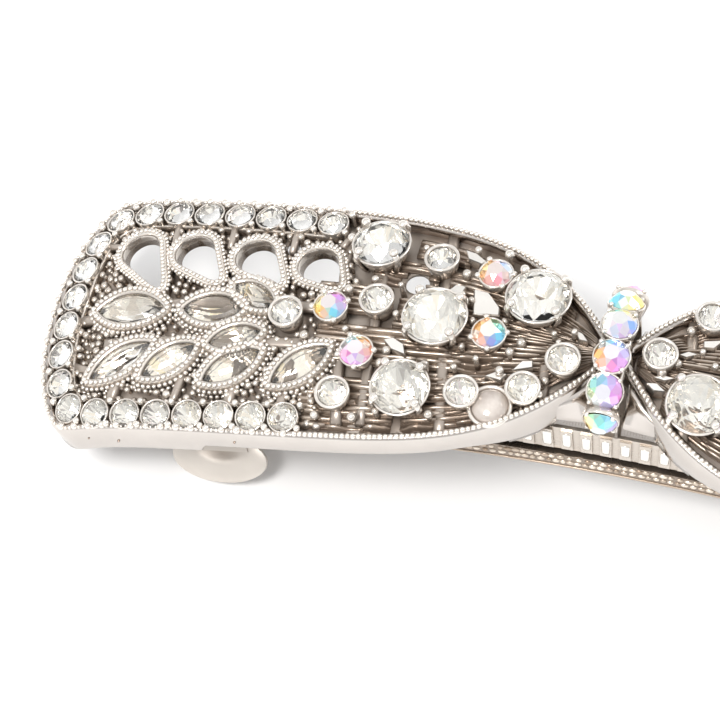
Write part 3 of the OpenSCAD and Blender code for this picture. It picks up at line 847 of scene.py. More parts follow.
def ribbons_piece():
    """Pleated ribbons that fan out from the waist: fine rounded ridges on a thin backing painted dark as the shade
    between them.
    """
    m = Mesh()
    for c0, c1, s0, s1, n, h0, tl in RIBBONS:
        steps = max(10, int(abs(s1 - s0) * 2.6))
        ss = np.linspace(s0, s1, steps)
        w = half_w(-ss) - .75
        u = np.linspace(0, 1, n + 1)
        for j in range(n):
            # backing, one strip under each ridge, left out at the opening
            vc = (c0 + (c1 - c0) * (u[j] + u[j + 1]) / 2) * w
            free = np.hypot(ss - HOLE[0], vc - HOLE[1]) > HOLE[2]
            edges = np.flatnonzero(np.diff(np.r_[0, free.astype(int), 0]))
            for a0, a1 in zip(edges[::2], edges[1::2] - 1):
                if a1 - a0 < 1:
                    continue
                rows = []
                for i in range(a0, a1 + 1):
                    for uu in (u[j], u[j + 1]):
                        for hh in (-.34, -.6):
                            rows.append((ss[i], (c0 + (c1 - c0) * uu) * w[i], h0 + hh + tl * (uu - .5) * 2))
                v = np.array(rows)
                f = []
                for i in range(a1 - a0):
                    a, b = 4 * i, 4 * i + 4
                    f += [(a, a + 2, b + 2, b), (a + 1, b + 1, b + 3, a + 3), (a, b, b + 1, a + 1), (a + 2, a + 3, b + 3, b + 2)]
                e = 4 * (a1 - a0)
                f += [(0, 1, 3, 2), (e, e + 2, e + 3, e + 1)]
                _, pit = hollow(v[:, 0], v[:, 1])
                # the backing is darkened all over: painted shade between the ridges
                m.add(P(v[:, 0], v[:, 1], v[:, 2] - .4 * pit), f, 0, True, 1.0)
        prof = [(0.02, -.66), (.05, -.26), (.26, -.06), (.5, 0), (.74, -.06), (.95, -.26), (.98, -.66)]
        k = len(prof)
        for j in range(n):
            ua, ub = u[j], u[j + 1]
            vc = (c0 + (c1 - c0) * (ua + ub) / 2) * w
            shut = np.hypot(ss - HOLE[0], vc - HOLE[1]) < HOLE[2]
            i0 = 0
            while i0 < steps - 2:
                # each ridge is a run of short strokes of uneven height, with a dark nick between them
                i1 = min(steps - 1, i0 + int(rng.integers(4, 11)))
                if steps - 1 - i1 < 3:
                    i1 = steps - 1
                if shut[i0]:
                    i0 += 1
                    continue
                gap = np.flatnonzero(shut[i0:i1 + 1])
                if len(gap):
                    i1 = i0 + int(gap[0]) - 1
                    if i1 - i0 < 2:
                        i0 = i1 + 1
                        continue
                dh, yaw = rng.uniform(-.2, .1), rng.uniform(-.2, .2)
                dark = rng.uniform(0, .4)
                verts = []
                L = i1 - i0
                for i in range(i0, i1 + 1):
                    e = min(i - i0, i1 - i)
                    end = [.35, .85, 1][min(2, e)]
                    turn = yaw * ((i - i0) / L - .5)
                    for x, hh in prof:
                        uu = ua + (ub - ua) * (.5 + (x - .5) * (.6 + .4 * end)) + turn / n
                        top = h0 + tl * (uu - .5) * 2 + dh - .12 * (1 - end)
                        z = h0 + tl * (uu - .5) * 2 - .5 if x in (.02, .98) else top + hh
                        verts.append((ss[i], (c0 + (c1 - c0) * uu) * w[i], z))
                v = np.array(verts)
                f = []
                for i in range(L):
                    a, b = k * i, k * i + k
                    for q in range(k):
                        f.append((a + q, a + (q + 1) % k, b + (q + 1) % k, b + q))
                f.append(tuple(range(k))[::-1])
                f.append(tuple(k * L + q for q in range(k)))
                halo, pit = hollow(v[:, 0], v[:, 1])
                cloud = .35 * np.clip(np.sin(1.1 * v[:, 0] + 2.1 * v[:, 1] + .5) * np.sin(.7 * v[:, 0] - 1.7 * v[:, 1]), 0, 1)
                # ridge sides, the ground beside the stones and the pits are darkened as painted shade, with some dirt
                # beside the stones; dark and cloud vary the tone at random
                dp = np.clip(np.tile([1, .6, .12, 0, .12, .6, 1], L + 1) + dark + halo + pit + cloud, 0, 1)
                m.add(P(v[:, 0], v[:, 1], v[:, 2] - .45 * pit - .12 * halo), f, 0, True, dp)
                i0 = i1 + (1 if len(gap) else 0)
    return m


def bar(m, a, b, w, h0, h1, n=8, deep=.3):
    """A rounded bar that follows the surface from a to b."""
    p = np.c_[np.linspace(a[0], b[0], n), np.linspace(a[1], b[1], n)]
    sec = [(w / 2, h1 - .12), (w / 2, h0), (-w / 2, h0), (-w / 2, h1 - .12), (-w * .28, h1), (w * .28, h1)]
    sweep(m, p, sec, False, [deep, 1, 1, deep, deep * .4, deep * .4])


def web_piece():
    m = Mesh()
    bar(m, (-37.5, .3), (-22.5, .9), .9, -1, -.3)
    bar(m, (-41, -3.3), (-23.5, -2.4), .9, -1, -.35)
    bar(m, (-39.5, -8.4), (-38.8, -4.6), .8, -1, -.25, 4)
    bar(m, (-29.5, -8.4), (-29.2, -4.6), .8, -1, -.25, 4)
    bar(m, (-44, -1), (-41.8, -.9), .8, -1, -.25, 3)
    bar(m, (-34.2, -8.4), (-33.6, -5.4), .6, -1, -.3, 4)
    bar(m, (-43.6, -5), (-41, -5.9), .6, -1, -.3, 3)
    bar(m, (-20.5, -8.8), (-23.4, 8.2), .9, -1.25, -.5, 14, .7)
    bar(m, (-18.6, -8.6), (-20, 8.5), .8, -1.25, -.55, 14, .7)
    bar(m, (-12.2, -8.9), (-15.2, 9.4), .9, -1.25, -.55, 14, .7)
    bar(m, (-5, -4.8), (-6.2, 5.9), .9, -1.25, -.55, 10, .7)
    bar(m, (-25.3, -9), (-25, -4), .7, -1.1, -.4, 5)
    # short stays from the loops up to the stone rim
    for s, v, s2, v2 in ((-37.7, 8.3, -37.4, 5.6), (-32.9, 8.3, -32.6, 5.8), (-27.6, 8.3, -27.4, 5.7),
                         (-43.6, 6.2, -41.6, 5.8), (-23, 8.2, -23.5, 6.6)):
        bar(m, (s, v), (s2, v2), .5, -.9, -.1, 3, .2)
    for s in (-12, -25.5):
        prof = [(0, -3.9 - CR), (1.05, -3.9 - CR), (1.05, -.9), (0, -.7)]
        pts, f = revolve(prof, 24)
        c = P(s, 0, 0)
        a = s / R
        ry = np.array([[math.cos(a), 0, math.sin(a)], [0, 1, 0], [-math.sin(a), 0, math.cos(a)]])
        m.add(c + pts @ ry.T, f, 0, True, .6)
    return m


def inside(poly, p):
    """Which points p lie inside a closed outline."""
    x, y = p[:, 0], p[:, 1]
    c = np.zeros(len(p), bool)
    q = np.roll(poly, -1, 0)
    for (x0, y0), (x1, y1) in zip(poly, q):
        if y0 != y1:
            c ^= ((y0 > y) != (y1 > y)) & (x < (x1 - x0) * (y - y0) / (y1 - y0) + x0)
    return c


def sheet_piece():
    """The casting's recessed back, open inside the teardrop loops and at two small piercings."""
    m = Mesh()
    path = outline(60, 80)
    right_ = path[path[:, 1] >= 0]
    right_ = right_[np.argsort(right_[:, 0])]
    ns, nv = 128, 54
    ss = np.linspace(-46.6, -1.3, ns)
    wid = np.interp(ss, right_[:, 0], right_[:, 1]) - .35
    u = np.linspace(-1, 1, nv)
    S = np.repeat(ss[:, None], nv, 1)
    V = wid[:, None] * u[None, :]
    C = np.stack([(S[:-1, :-1] + S[1:, 1:]) / 2, (V[:-1, :-1] + V[1:, :-1] + V[:-1, 1:] + V[1:, 1:]) / 4], -1).reshape(-1, 2)
    holes = []
    for o in DROPS:
        d = math.hypot(o[2] - o[0], o[3] - o[1])
        base = smooth_closed(ccw(drop_outline(1.74, max(2.0, (d - .15) * .8), 30)), 160, 2)
        holes.append(np.array([place(o, x, y) for x, y in base]) + [o[0], o[1]])
    holes.append(smooth_closed([(-28.9, 7.3), (-27.4, 5.4), (-26.3, 7.3)], 90, 2))
    q = np.arange(90) * math.pi / 45
    holes.append(np.c_[HOLE[0] + HOLE[2] * np.cos(q), HOLE[1] + HOLE[2] * np.sin(q)])
    keep = np.ones((ns - 1, nv - 1), bool)
    for hole in holes:
        cut = inside(hole, C).reshape(ns - 1, nv - 1)
        keep &= ~cut
        # the grid's points round the opening move onto its outline
        pad = np.pad(cut, 1)
        near = pad[:-1, :-1] | pad[1:, :-1] | pad[:-1, 1:] | pad[1:, 1:]
        full = pad[:-1, :-1] & pad[1:, :-1] & pad[:-1, 1:] & pad[1:, 1:]
        for i, j in np.argwhere(near & ~full):
            k = np.argmin(np.hypot(hole[:, 0] - S[i, j], hole[:, 1] - V[i, j]))
            S[i, j], V[i, j] = hole[k]
    wave = .05 * np.sin(S * 2.1) * np.sin(V * 1.7)
    top = P(S, V, -1.18 + wave).reshape(-1, 3)
    low = P(S, V, -1.45 + 0 * wave).reshape(-1, 3)
    k = ns * nv
    f, used = [], np.zeros(2 * k, bool)
    idx = lambda i, j: i * nv + j
    for i in range(ns - 1):
        for j in range(nv - 1):
            if not keep[i, j]:
                continue
            a, b, c, d = idx(i, j), idx(i + 1, j), idx(i + 1, j + 1), idx(i, j + 1)
            f += [(a, b, c, d), (k + d, k + c, k + b, k + a)]
            if j == 0 or not keep[i, j - 1]:
                f.append((a, k + a, k + b, b))
            if j == nv - 2 or not keep[i, j + 1]:
                f.append((c, k + c, k + d, d))
            if i == 0 or not keep[i - 1, j]:
                f.append((d, k + d, k + a, a))
            if i == ns - 2 or not keep[i + 1, j]:
                f.append((b, k + b, k + c, c))
    for t in f:
        for x in t:
            used[x] = True
    new = np.cumsum(used) - 1
    pts = np.vstack([top, low])[used]
    # the recessed back is darkened, in slow waves on top and more on its underside: painted shade
    dp = (.35 + .35 * np.sin(S * 1.3 + 1) * np.cos(V * 1.1)).reshape(-1)
    m.add(pts, [tuple(int(new[x]) for x in t) for t in f], 0, True, np.r_[dp, np.full(k, .6)][used])
    return m


def settings_piece():
    m = Mesh()
    for s, v, k, h in BIGS:
        r = k * 2.5
        ring_cup(m, s, v, h, r - .12, r + .12, .0, -2.0, r * .74, 48)
        B = basis(s, v)
        for a in range(4):
            q = math.radians(45 + 90 * a + rng.uniform(-7, 7))
            # a claw: a tapering strip up the cup that bends in over the stone and ends in a ball
            line = [(r * .85, -1.7), (r + .18, -.5), (r + .26, .05), (r + .12, .42), (r - .16, .62)]
            wd = [.34, .3, .28, .27, .24]
            pts, f = [], []
            n = 8
            for (rr, z), w in zip(line, wd):
                for j in range(n):
                    t = 2 * math.pi * j / n
                    x, y = rr + w * .62 * math.cos(t), w * math.sin(t)
                    pts.append((x * math.cos(q) - y * math.sin(q), x * math.sin(q) + y * math.cos(q), z + .18 * math.cos(t) * 0))
            for i in range(len(line) - 1):
                for j in range(n):
                    f.append((i * n + j, i * n + (j + 1) % n, (i + 1) * n + (j + 1) % n, (i + 1) * n + j))
            f.append(tuple(range(n))[::-1])
            f.append(tuple((len(line) - 1) * n + j for j in range(n)))
            m.add(local(s, v, h, pts), f, 0, True, np.repeat([.7, .2, 0, 0, 0], n))
            e = line[-1]
            bead(m, local(s, v, h, [[e[0] * math.cos(q), e[0] * math.sin(q), e[1] + .02]])[0], .36, True, B, .8)
    for s, v, h in SMALLS:
        ring_cup(m, s, v, h, 1.12, 1.42, .3, -1.6, 1.05, 40)
    for s, v, h in AURORAS:
        ring_cup(m, s, v, h, 1.24, 1.42, .1, -1.7, 1.0, 36)
        for a in range(4):
            q = math.radians(90 * a + rng.uniform(-15, 15) + 20)
            bead(m, local(s, v, h, [[1.43 * math.cos(q), 1.43 * math.sin(q), .12]])[0], .25, True)
    ring_cup(m, CAB[0], CAB[1], -.1, 1.45, 1.8, .22, -.9, 1.5, 40)
    return m


def balls_piece():
    """Small solid balls on stems, scattered between the stones."""
    m = Mesh()
    fixed = [(-16.6, 6.9), (-17.7, 3.1), (-12.9, 4.9), (-24.3, -2.1), (-24.6, 1.6), (-21.7, 2.3), (-17.6, -2.7), (-12.1, -3.4),
             (-13.2, -7.6), (-22.9, -5.9), (-19.1, -8.5), (-9.1, 1.2), (-12.0, 2.6), (-8.5, -3.3), (-5.0, -3.3), (-4.6, -.1),
             (-10.1, 7.3), (-22.7, 7.2), (-12.6, 7.4), (-17.3, -7.9), (-21.2, -1.2), (-5.1, -6.1), (-10.5, -2.6), (-7.4, -.6),
             (-3.6, 1.0), (-14.4, -3.4), (-11.6, .9)]
    busy = [(a, b, 2.5 * k + .2) for a, b, k, _ in BIGS] + [(a, b, 1.5) for a, b, _ in SMALLS + AURORAS] + [(CAB[0], CAB[1], 1.9)]
    busy += [(a, b, .45) for a, b in fixed]
    for a, b in zip(rng.uniform(-22.5, -4, 40), rng.uniform(-9, 9, 40)):
        if abs(b) < half_w(-a) - 1.05 and all(math.hypot(a - x, b - y) > r + .3 for x, y, r in busy) \
                and not (-12.6 < a < -9.2 and 1 < b < 4.2) and math.hypot(a + 16.6, b - 3.9) > 1.3:
            busy.append((a, b, .75))
            fixed.append((a, b))
    for s, v in fixed:
        h = rng.uniform(.0, .5)
        r = rng.uniform(.24, .4)
        v = math.copysign(min(abs(v), half_w(-s) - .75 - r), v)
        prof = [(0, -1.2), (.24, -1.2), (.2, h - .1), (0, h)]
        pts, f = revolve(prof, 10)
        m.add(local(s, v, 0, pts), f, 0, True, [.9] * 11 + [.2] * 11)
        bead(m, P(s, v, h), r, True, None, 1.0, 0, float(rng.uniform(0, .35)))
    return m


def granules_piece():
    """Small beads that fill the floor of the leaf end between the leaves, the loops and the stone rim."""
    m = Mesh()
    taken = [(q[0], q[1], 1.3) for q in rim_spots()] + [(a, b, 1.5) for a, b, _ in SMALLS + AURORAS] + \
            [(a, b, 2.6 * k) for a, b, k, _ in BIGS]
    zones = []
    for o, W in zip(OVALS, OVAL_W):
        ms, mv, L = oval_frame(o)
        ring = lens_outline(L + 1.25, W + .55, 12)
        d = math.atan2(o[3] - o[1], o[2] - o[0])
        c, sn = math.cos(d), math.sin(d)
        zones.append(np.c_[ms + ring[:, 0] * c - ring[:, 1] * sn, mv + ring[:, 0] * sn + ring[:, 1] * c])
    for o in DROPS:
        d = math.hypot(o[2] - o[0], o[3] - o[1])
        zones.append(np.array([place(o, x, y) for x, y in drop_outline(2.15, d + .35, 24)]) + [o[0], o[1]])
    n = 5200
    Q = np.c_[rng.uniform(-46.2, -21.6, n), rng.uniform(-10, 10, n)]
    rr = rng.uniform(.2, .36, n)
    ok = (np.abs(Q[:, 1]) < half_w(-Q[:, 0]) - .75 - rr) & \
         (Q[:, 0] > -46 + .016 * Q[:, 1] ** 2 + (np.abs(Q[:, 1]) > 7.5) * 1.2)
    for a, b, k in taken:
        ok &= np.hypot(Q[:, 0] - a, Q[:, 1] - b) > k + rr * .4
    for z in zones + [np.array([(-28.9, 7.3), (-26.3, 7.3), (-27.4, 5.4)])]:
        ok &= ~inside(z, Q)
    put = np.zeros((0, 3))
    for q, r in zip(Q[ok], rr[ok]):
        if not len(put) or (np.hypot(put[:, 0] - q[0], put[:, 1] - q[1]) > .93 * (put[:, 2] + r)).all():
            put = np.vstack([put, [q[0], q[1], r]])
    for a, b, r in put:
        h = rng.uniform(-.95, -.35)
        prof = [(0, -1.3), (r * .8, -1.3), (r * .62, h), (0, h)]
        pts, f = revolve(prof, 7)
        m.add(local(a, b, 0, pts), f, 0, True, [.9] + [.9] * 7 + [.4] * 7 + [.4])
        bead(m, P(a, b, h), r, False, None, 1.0, 0, float(rng.uniform(0, .45)))
    return m


# these flats take the brighter copy of the silver: a painted highlight
FLATS = [  # polished facets of the casting that show between the stones: corners and height
    ([(-12.1, 3.75), (-10.9, 3.55), (-9.7, 2.25), (-9.6, 1.55), (-11.7, 1.45)], .25),
    ([(-14.1, 3.0), (-13.5, 3.85), (-12.7, 3.75), (-12.9, 2.95)], .35),
    ([(-9.6, -3.8), (-8.9, -3.35), (-7.9, -3.35), (-8.3, -3.95)], .2),
    ([(-7.6, -3.0), (-7.0, -2.1), (-6.2, -1.95), (-6.1, -2.5)], .3),
    ([(-18.0, -1.85), (-17.3, -1.6), (-16.3, -2.1), (-16.0, -2.95), (-17.2, -2.6)], .3),
    ([(-13.6, 7.3), (-12.7, 7.1), (-11.8, 6.5), (-12.0, 6.15), (-13.2, 6.5)], .3)]


FLATS_AT_WAIST = {
    "left": [([(-3.7, 1.35), (-3.0, 1.1), (-2.45, .45), (-3.1, .5)], .35)],
    "right": [([(-4.2, 2.5), (-3.3, 2.62), (-2.6, 2.15), (-3.4, 2.0)], .35), ([(-5.9, -1.2), (-5.1, -.75), (-4.55, -.85), (-5.2, -1.3)], .35),
              ([(-4.6, 1.3), (-3.9, 1.6), (-3.0, 1.45), (-3.9, 1.2)], .3)]}


def flats_piece(side):
    m = Mesh()
    for poly, h in FLATS + FLATS_AT_WAIST[side]:
        p = ccw(poly)
        c = p.mean(0)
        n = len(p)
        rings = [(1.0, -1.2), (1.0, -.12), (.9, 0), (.0, .03)]
        tx, ty = rng.uniform(-.08, .08, 2)
        verts = []
        for k, dz in rings[:3]:
            q = c + (p - c) * k
            verts.append(P(q[:, 0], q[:, 1], h + dz + (q - c) @ [tx, ty]))
        f = [tuple(range(n))[::-1], tuple(2 * n + j for j in range(n))]
        for i in range(2):
            for j in range(n):
                f.append((i * n + j, i * n + (j + 1) % n, (i + 1) * n + (j + 1) % n, (i + 1) * n + j))
        m.add(np.concatenate(verts), f, 0, False, np.repeat([.9, .1, 0], n))
    return m


def wing(side):
    global SMALLS
    left = side == "left"
    turn = not left
    if turn:        # the stone beside the knot sits a little nearer the middle on this wing
        SMALLS = [(-3.2, -.25, .8) if q == (-3.9, -1.7, .8) else q for q in SMALLS]
    wm, path = wall_piece()
    body = [("wall", wm, WALLM), ("rim_cups", rim_piece(), SILVER), ("edge_grain", milgrain_piece(), SILVER),
            ("loops", loops_piece(), SILVER), ("leaf_bezels", bezels_piece(), SILVER), ("ribbons", ribbons_piece(), PLEAT),
            ("back_sheet", sheet_piece(), DEEPM), ("web", web_piece(), DEEPM), ("granules", granules_piece(), SILVER),
            ("flats", flats_piece(side), FLATM), ("settings", settings_piece(), SILVER), ("balls", balls_piece(), SILVER)]
    for i, (n, m, mat) in enumerate(body):
        o = m.build(f"{side}_{n}", [mat], "root", turn)
        if i == 0:
            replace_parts(o, f"{side}_wing_casting")
    g = Mesh()
    for q in rim_spots():
        gem(g, q[0], q[1], .04, 1.11, .44, .8, CLEAR, CLEAR_W, .52, (rng.uniform(-.09, .09), rng.uniform(-.09, .09)))
    o = g.build(f"{side}_rim_crystals", [CRYSTAL, FOIL], "root", turn)
    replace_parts(o, f"rim_stones_{side}") or o
    o = navettes_piece().build(f"{side}_navettes", [NAVETTE, FOIL], "root", turn)
    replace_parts(o, f"marquise_stones_{side}") or o
    g = Mesh()
    for s, v, k, h in BIGS:
        gem(g, s, v, h - .02, k * 2.5 - .04, k * 1.05, 1.5, CLEAR, BIG_W, .54, (rng.uniform(-.05, .05), rng.uniform(-.05, .05)))
    o = g.build(f"{side}_large_chatons", [CRYSTAL, FOIL], "root", turn)
    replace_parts(o, f"large_crystals_{side}") or o
    g = Mesh()
    for s, v, h in SMALLS:
        gem(g, s, v, h + .06, 1.13, .52, .85, CLEAR, CLEAR_W, .55, (rng.uniform(-.06, .06), rng.uniform(-.06, .06)))
    o = g.build(f"{side}_small_chatons", [CRYSTAL, FOIL], "root", turn)
    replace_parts(o, f"small_crystals_{side}") or o
    g = Mesh()
    for (s, v, h), fan in zip(AURORAS, AB_FANS):
        gem(g, s, v, h + .04, 1.28, .64, .8, AB, AB_W, .5, (rng.uniform(-.1, .1), rng.uniform(-.1, .1)), None, fan, 0)
    o = g.build(f"{side}_aurora_chatons", [ABGLASS, FOIL], "root", turn)
    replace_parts(o, f"aurora_stones_{side}") or o
    g = Mesh()
    prof = [(0, -.35), (1.42, -.35), (1.44, -.05), (1.3, .2), (.95, .42), (.5, .56), (0, .6)]
    pts, f = revolve(prof, 40)
    g.add(local(CAB[0], CAB[1], -.02, pts), f, 0, True)
    o = g.build(f"{side}_cabochon", [PEARL], "root", turn)
    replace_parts(o, f"cabochon_{side}") or o


wing("left")
wing("right")


# ---------------------------------------------------------------- knot at the waist
def knot_frames():
    for mir in (-1, 1):
        for y, z, tilt in KNOT:
            t = math.radians(-mir * tilt)
            B = np.array([[1, 0, 0], [0, math.cos(t), -math.sin(t)], [0, math.sin(t), math.cos(t)]])
            yield np.array([-.2, mir * y, ZT + z]), B


def strap_curve(y, z, n, p=.5):
    q = np.linspace(0, math.pi, n + 1)
    c, s = np.cos(q), np.sin(q)
    return np.c_[y * np.sign(c) * np.abs(c) ** p, -3.9 + (z + 3.9) * np.abs(s) ** p]


def knot():
    m = Mesh()
    n = 60
    outer, inner = strap_curve(4.62, 2.75, n), strap_curve(4.0, 1.9, n)
    # across the band: a flat with two raised edges
    prof = [(-.95, .5), (-.93, .3), (-.85, .2), (-.72, .2), (-.62, .3), (.62, .3), (.72, .2), (.85, .2), (.93, .3), (.95, .5)]
    verts = []
    for i in range(n + 1):
        o, q = outer[i], inner[i]
        d = q - o
        for x, k in prof:
            p = o + d * k
            verts.append((x, p[0], ZT + p[1]))
        verts.append((.95, q[0], ZT + q[1]))
        verts.append((-.95, q[0], ZT + q[1]))
    k = len(prof) + 2
    f = []
    for i in range(n):
        a, b = i * k, i * k + k
        for j in range(k):
            f.append((a + j, a + (j + 1) % k, b + (j + 1) % k, b + j))
    f.append(tuple(range(k))[::-1])
    f.append(tuple(n * k + j for j in range(k)))
    # the flat between the raised edges and the inner face are darkened: painted shade
    m.add(verts, f, 0, True, np.tile([.3, .1, 0, .2, .75, .75, .2, 0, .1, .3, .8, .8], n + 1))
    for c, B in knot_frames():
        prof = [(0, -1.25), (1.25, -1.25), (1.5, -.2), (1.49, -.06), (1.42, -.02), (1.34, -.05), (1.3, -.3), (.9, -1.1), (0, -1.15)]
        pts, fc = revolve(prof, 40)
        m.add(c + pts @ B.T, fc, 0, True, [.9] + [.9] * 40 + [.2] * 40 + [0] * 40 + [0] * 40 + [.2] * 40 + [.7] * 40 + [.9] * 40 + [.9])
        for a in range(4):
            q = math.radians(45 + 90 * a)
            bead(m, c + B @ np.array([1.44 * math.cos(q), 1.44 * math.sin(q), .08]), .2, True)
    o = m.build("knot_strap", [SILVER])
    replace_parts(o, "knot_band")
    g = Mesh()
    for (c, B), fan in zip(knot_frames(), KNOT_FANS):
        gem(g, 0, 0, 0, 1.37, .78, .75, AB, AB_W, .46, (rng.uniform(-.05, .05), rng.uniform(-.08, .08)), (c + B @ [0, 0, .03], B), fan, 0)
    o = g.build("knot_aurora_chatons", [ABGLASS, FOIL])
    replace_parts(o, "knot_aurora_stones")


knot()

# ---------------------------------------------------------------- pinch ears
def body_name(node):
    b = body_of(frame["nodes"][node])
    return b if isinstance(b, str) else b[-1]


def ear(side):
    """A spoon-shaped ear: a bead in the saddle's curl, a strip down and out from it, and a dished pad. y outwards."""
    m = Mesh()
    sgn = -1 if side == "front" else 1
    line = smooth_path([(3.95, -5.4), (4.4, -6.6), (5, -7.9), (5.6, -8.6), (6.1, -9.15), (6.6, -9.7)], 16, 2)
    th = .42
    t = np.gradient(line, axis=0)
    t /= np.linalg.norm(t, axis=1)[:, None]
    nm = np.c_[-t[:, 1], t[:, 0]]          # upwards and outwards
    verts, k = [], 8
    for i, p in enumerate(line):
        w = 1.55 + .9 * max(0, (i - 7) / 8) ** 1.5
        x0 = -.75 * max(0, (i - 4) / 11)
        for x, e in ((-w, 0), (-w + .12, .5), (w - .12, .5), (w, 0), (w - .12, -.5), (-w + .12, -.5)):
            q = p + nm[i] * th * e
            verts.append((x + x0, q[0], q[1]))
    k = 6
    f = []
    for i in range(len(line) - 1):
        for j in range(k):
            f.append((i * k + j, i * k + (j + 1) % k, (i + 1) * k + (j + 1) % k, (i + 1) * k + j))
    f += [tuple(range(k))[::-1], tuple((len(line) - 1) * k + j for j in range(k))]
    parts = [(np.array(verts), f, np.full(len(verts), .15))]
    pts, f = revolve([(0, -1.5), (.5, -1.5), (.5, 1.5), (0, 1.5)], 24)
    parts.append((np.c_[pts[:, 2], pts[:, 0] + 3.95, pts[:, 1] - 5.4], f, np.zeros(len(pts))))
    # pad: rings of an ellipse in the pad's own plane, dished, with a rolled edge
    ex, ec, ax, ay, tilt = PAD
    along = np.array([.72, -.694])          # outwards and down
    out = np.array([.694, .72])
    n, rings = 64, [0, .12, .25, .4, .55, .68, .8, .89, .95, .985, 1.0]
    top, dep = [], []
    for r in rings:
        for a in range(n):
            q = 2 * math.pi * a / n
            x, y = ax * r * math.cos(q), ay * r * math.sin(q)
            dish = -.3 * max(0, 1 - (r * math.cos(q) / .6) ** 2 - ((r * math.sin(q) + .42) / .6) ** 2) ** 1.4
            h = dish + .16 * (1 - r ** 6) - .1 * (r * math.cos(q)) ** 2 + .0
            top.append((x, y, h))
            # the dish is darkened by its depth: painted shade
            dep.append(min(1, -dish * 2.6))
    low = [(x * .985, y * .985, -.44 + min(0, h) * .85) for x, y, h in top]
    P2 = []
    for x, y, h in top + low:
        c = math.cos(tilt) * x - math.sin(tilt) * y, math.sin(tilt) * x + math.cos(tilt) * y
        yz = np.array(ec) + along * c[1] + out * h
        P2.append((ex + c[0], yz[0], yz[1]))
    K = len(top)
    f = []
    for i in range(1, len(rings) - 1):
        for j in range(n):
            a, b = i * n + j, i * n + (j + 1) % n
            f += [(a, a + n, b + n, b), (K + b, K + b + n, K + a + n, K + a)]
    c0, c1 = [n + j for j in range(n)], [K + n + j for j in range(n)]
    P2 = np.array(P2)
    for j in range(n):
        f += [(0, c0[j], c0[(j + 1) % n]), (K, c1[(j + 1) % n], c1[j])]
        a, b = (len(rings) - 1) * n + j, (len(rings) - 1) * n + (j + 1) % n
        f.append((a, K + a, K + b, b))
    keep = sorted({i for t in f for i in t})
    new = {i: k for k, i in enumerate(keep)}
    parts.append((P2[keep], [tuple(new[i] for i in t) for t in f], np.array(dep + dep)[keep] * .9))
    q = math.radians(-15)
    T = np.array([[math.cos(q), 0, math.sin(q)], [0, 1, 0], [-math.sin(q), 0, math.cos(q)]])
    O = np.array([R * math.sin(q), 0, R * math.cos(q) - R + ZT])
    for pts, f, dp in parts:
        w = pts * [1, sgn, 1]
        if sgn > 0:
            f = [t[::-1] for t in f]
        m.add(w @ T.T + O, f, 0, True, dp)
    o = m.build(f"pinch_ear_{side}", [EAR], body_name(f"latch_ear_{side}"), False, 60)
    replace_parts(o, f"latch_ear_{side}")


PAD = (-.95, (7.1, -10.1), 4.0, 1.95, math.radians(3.8))
ear("front")
ear("back")

# ---------------------------------------------------------------- clip
def clip_trim():
    m = Mesh()
    for side in (-1, 1):    # pressed pads in the flange's panels
        for i in range(-14, 19):
            t = i * 1.55 / (R - 5)
            B = np.array([[math.cos(t), 0, math.sin(t)], [0, 1, 0], [-math.sin(t), 0, math.cos(t)]])
            hw, hh = .34 + rng.uniform(-.05, .06), .95 + rng.uniform(-.12, .1)
            q = np.arange(20) * math.pi / 10
            se = np.c_[np.sign(np.cos(q)) * np.abs(np.cos(q)) ** .45, np.sign(np.sin(q)) * np.abs(np.sin(q)) ** .45]
            verts = []
            for k, y in ((1.0, 0.0), (1.0, .05), (.78, .13), (.5, .15)):
                for a, b in se:
                    verts.append((a * hw * k, side * (4.55 + y), R - 5.45 + b * hh * k))
            f = [tuple(range(20))[::-1], tuple(60 + j for j in range(20))]
            for r in range(3):
                for j in range(20):
                    f.append((r * 20 + j, r * 20 + (j + 1) % 20, r * 20 + 20 + (j + 1) % 20, r * 20 + 20 + j))
            if side < 0:
                f = f
            m.add(np.array(verts) @ B.T + [0, 0, ZT - R], f, 0, True, 0)
    # the pads take the brighter copy of the silver: a painted highlight
    o = m.build("flange_pads", [FLATM], body_name("base_plate"))
    m = Mesh()
    for side in (-1, 1):    # two rows of beading along the arm
        for row, d in ((0, 7.98), (1, 8.62)):
            x = -12.2 * math.pi / 180 * (R - d)
            while x < 14.2 * math.pi / 180 * (R - d):
                t = x / (R - d)
                c = np.array([(R - d) * math.sin(t), side * 4.68, (R - d) * math.cos(t) + ZT - R])
                B = np.array([[math.cos(t), 0, math.sin(t)], [0, 1, 0], [-math.sin(t), 0, math.cos(t)]])
                v, f = ICO1
                v = v * [.3 * rng.uniform(.75, 1.25), .17, .2 * rng.uniform(.8, 1.2)]
                m.add(c + v @ B.T, f, 0, True, float(np.clip(rng.normal(.25, .4), 0, 1)))
                x += .62 * rng.uniform(.85, 1.2)
        # a darker edge line below the beads
        xs = np.linspace(-12.3, 14.4, 90) * math.pi / 180
        verts, f = [], []
        for t in xs:
            for y, z in ((0, -.1), (.1, -.06), (.12, .04), (.06, .1), (0, .1)):
                d = 9.28 - z
                verts.append(((R - d) * math.sin(t), side * (4.68 + y), (R - d) * math.cos(t) + ZT - R))
        for i in range(89):
            for j in range(5):
                f.append((i * 5 + j, i * 5 + (j + 1) % 5, i * 5 + 5 + (j + 1) % 5, i * 5 + 5 + j))
        f += [(4, 3, 2, 1, 0), tuple(89 * 5 + j for j in range(5))]
        m.add(verts, f, 0, True, .7)
    o = m.build("arm_beading", [BRASSY], body_name("clasp_arm"))


clip_trim()
for n, mat in (("base_plate", CLIP), ("latch_saddle", CLIP), ("clasp_arm", ARMM), ("tension_leaf", SPRING), ("hinge_pin", RIVET), ("base_rivets", RIVET),
               ("latch_rivet", RIVET)):
    o = frame["nodes"][n]
    o.data.materials.clear()
    o.data.materials.append(mat)

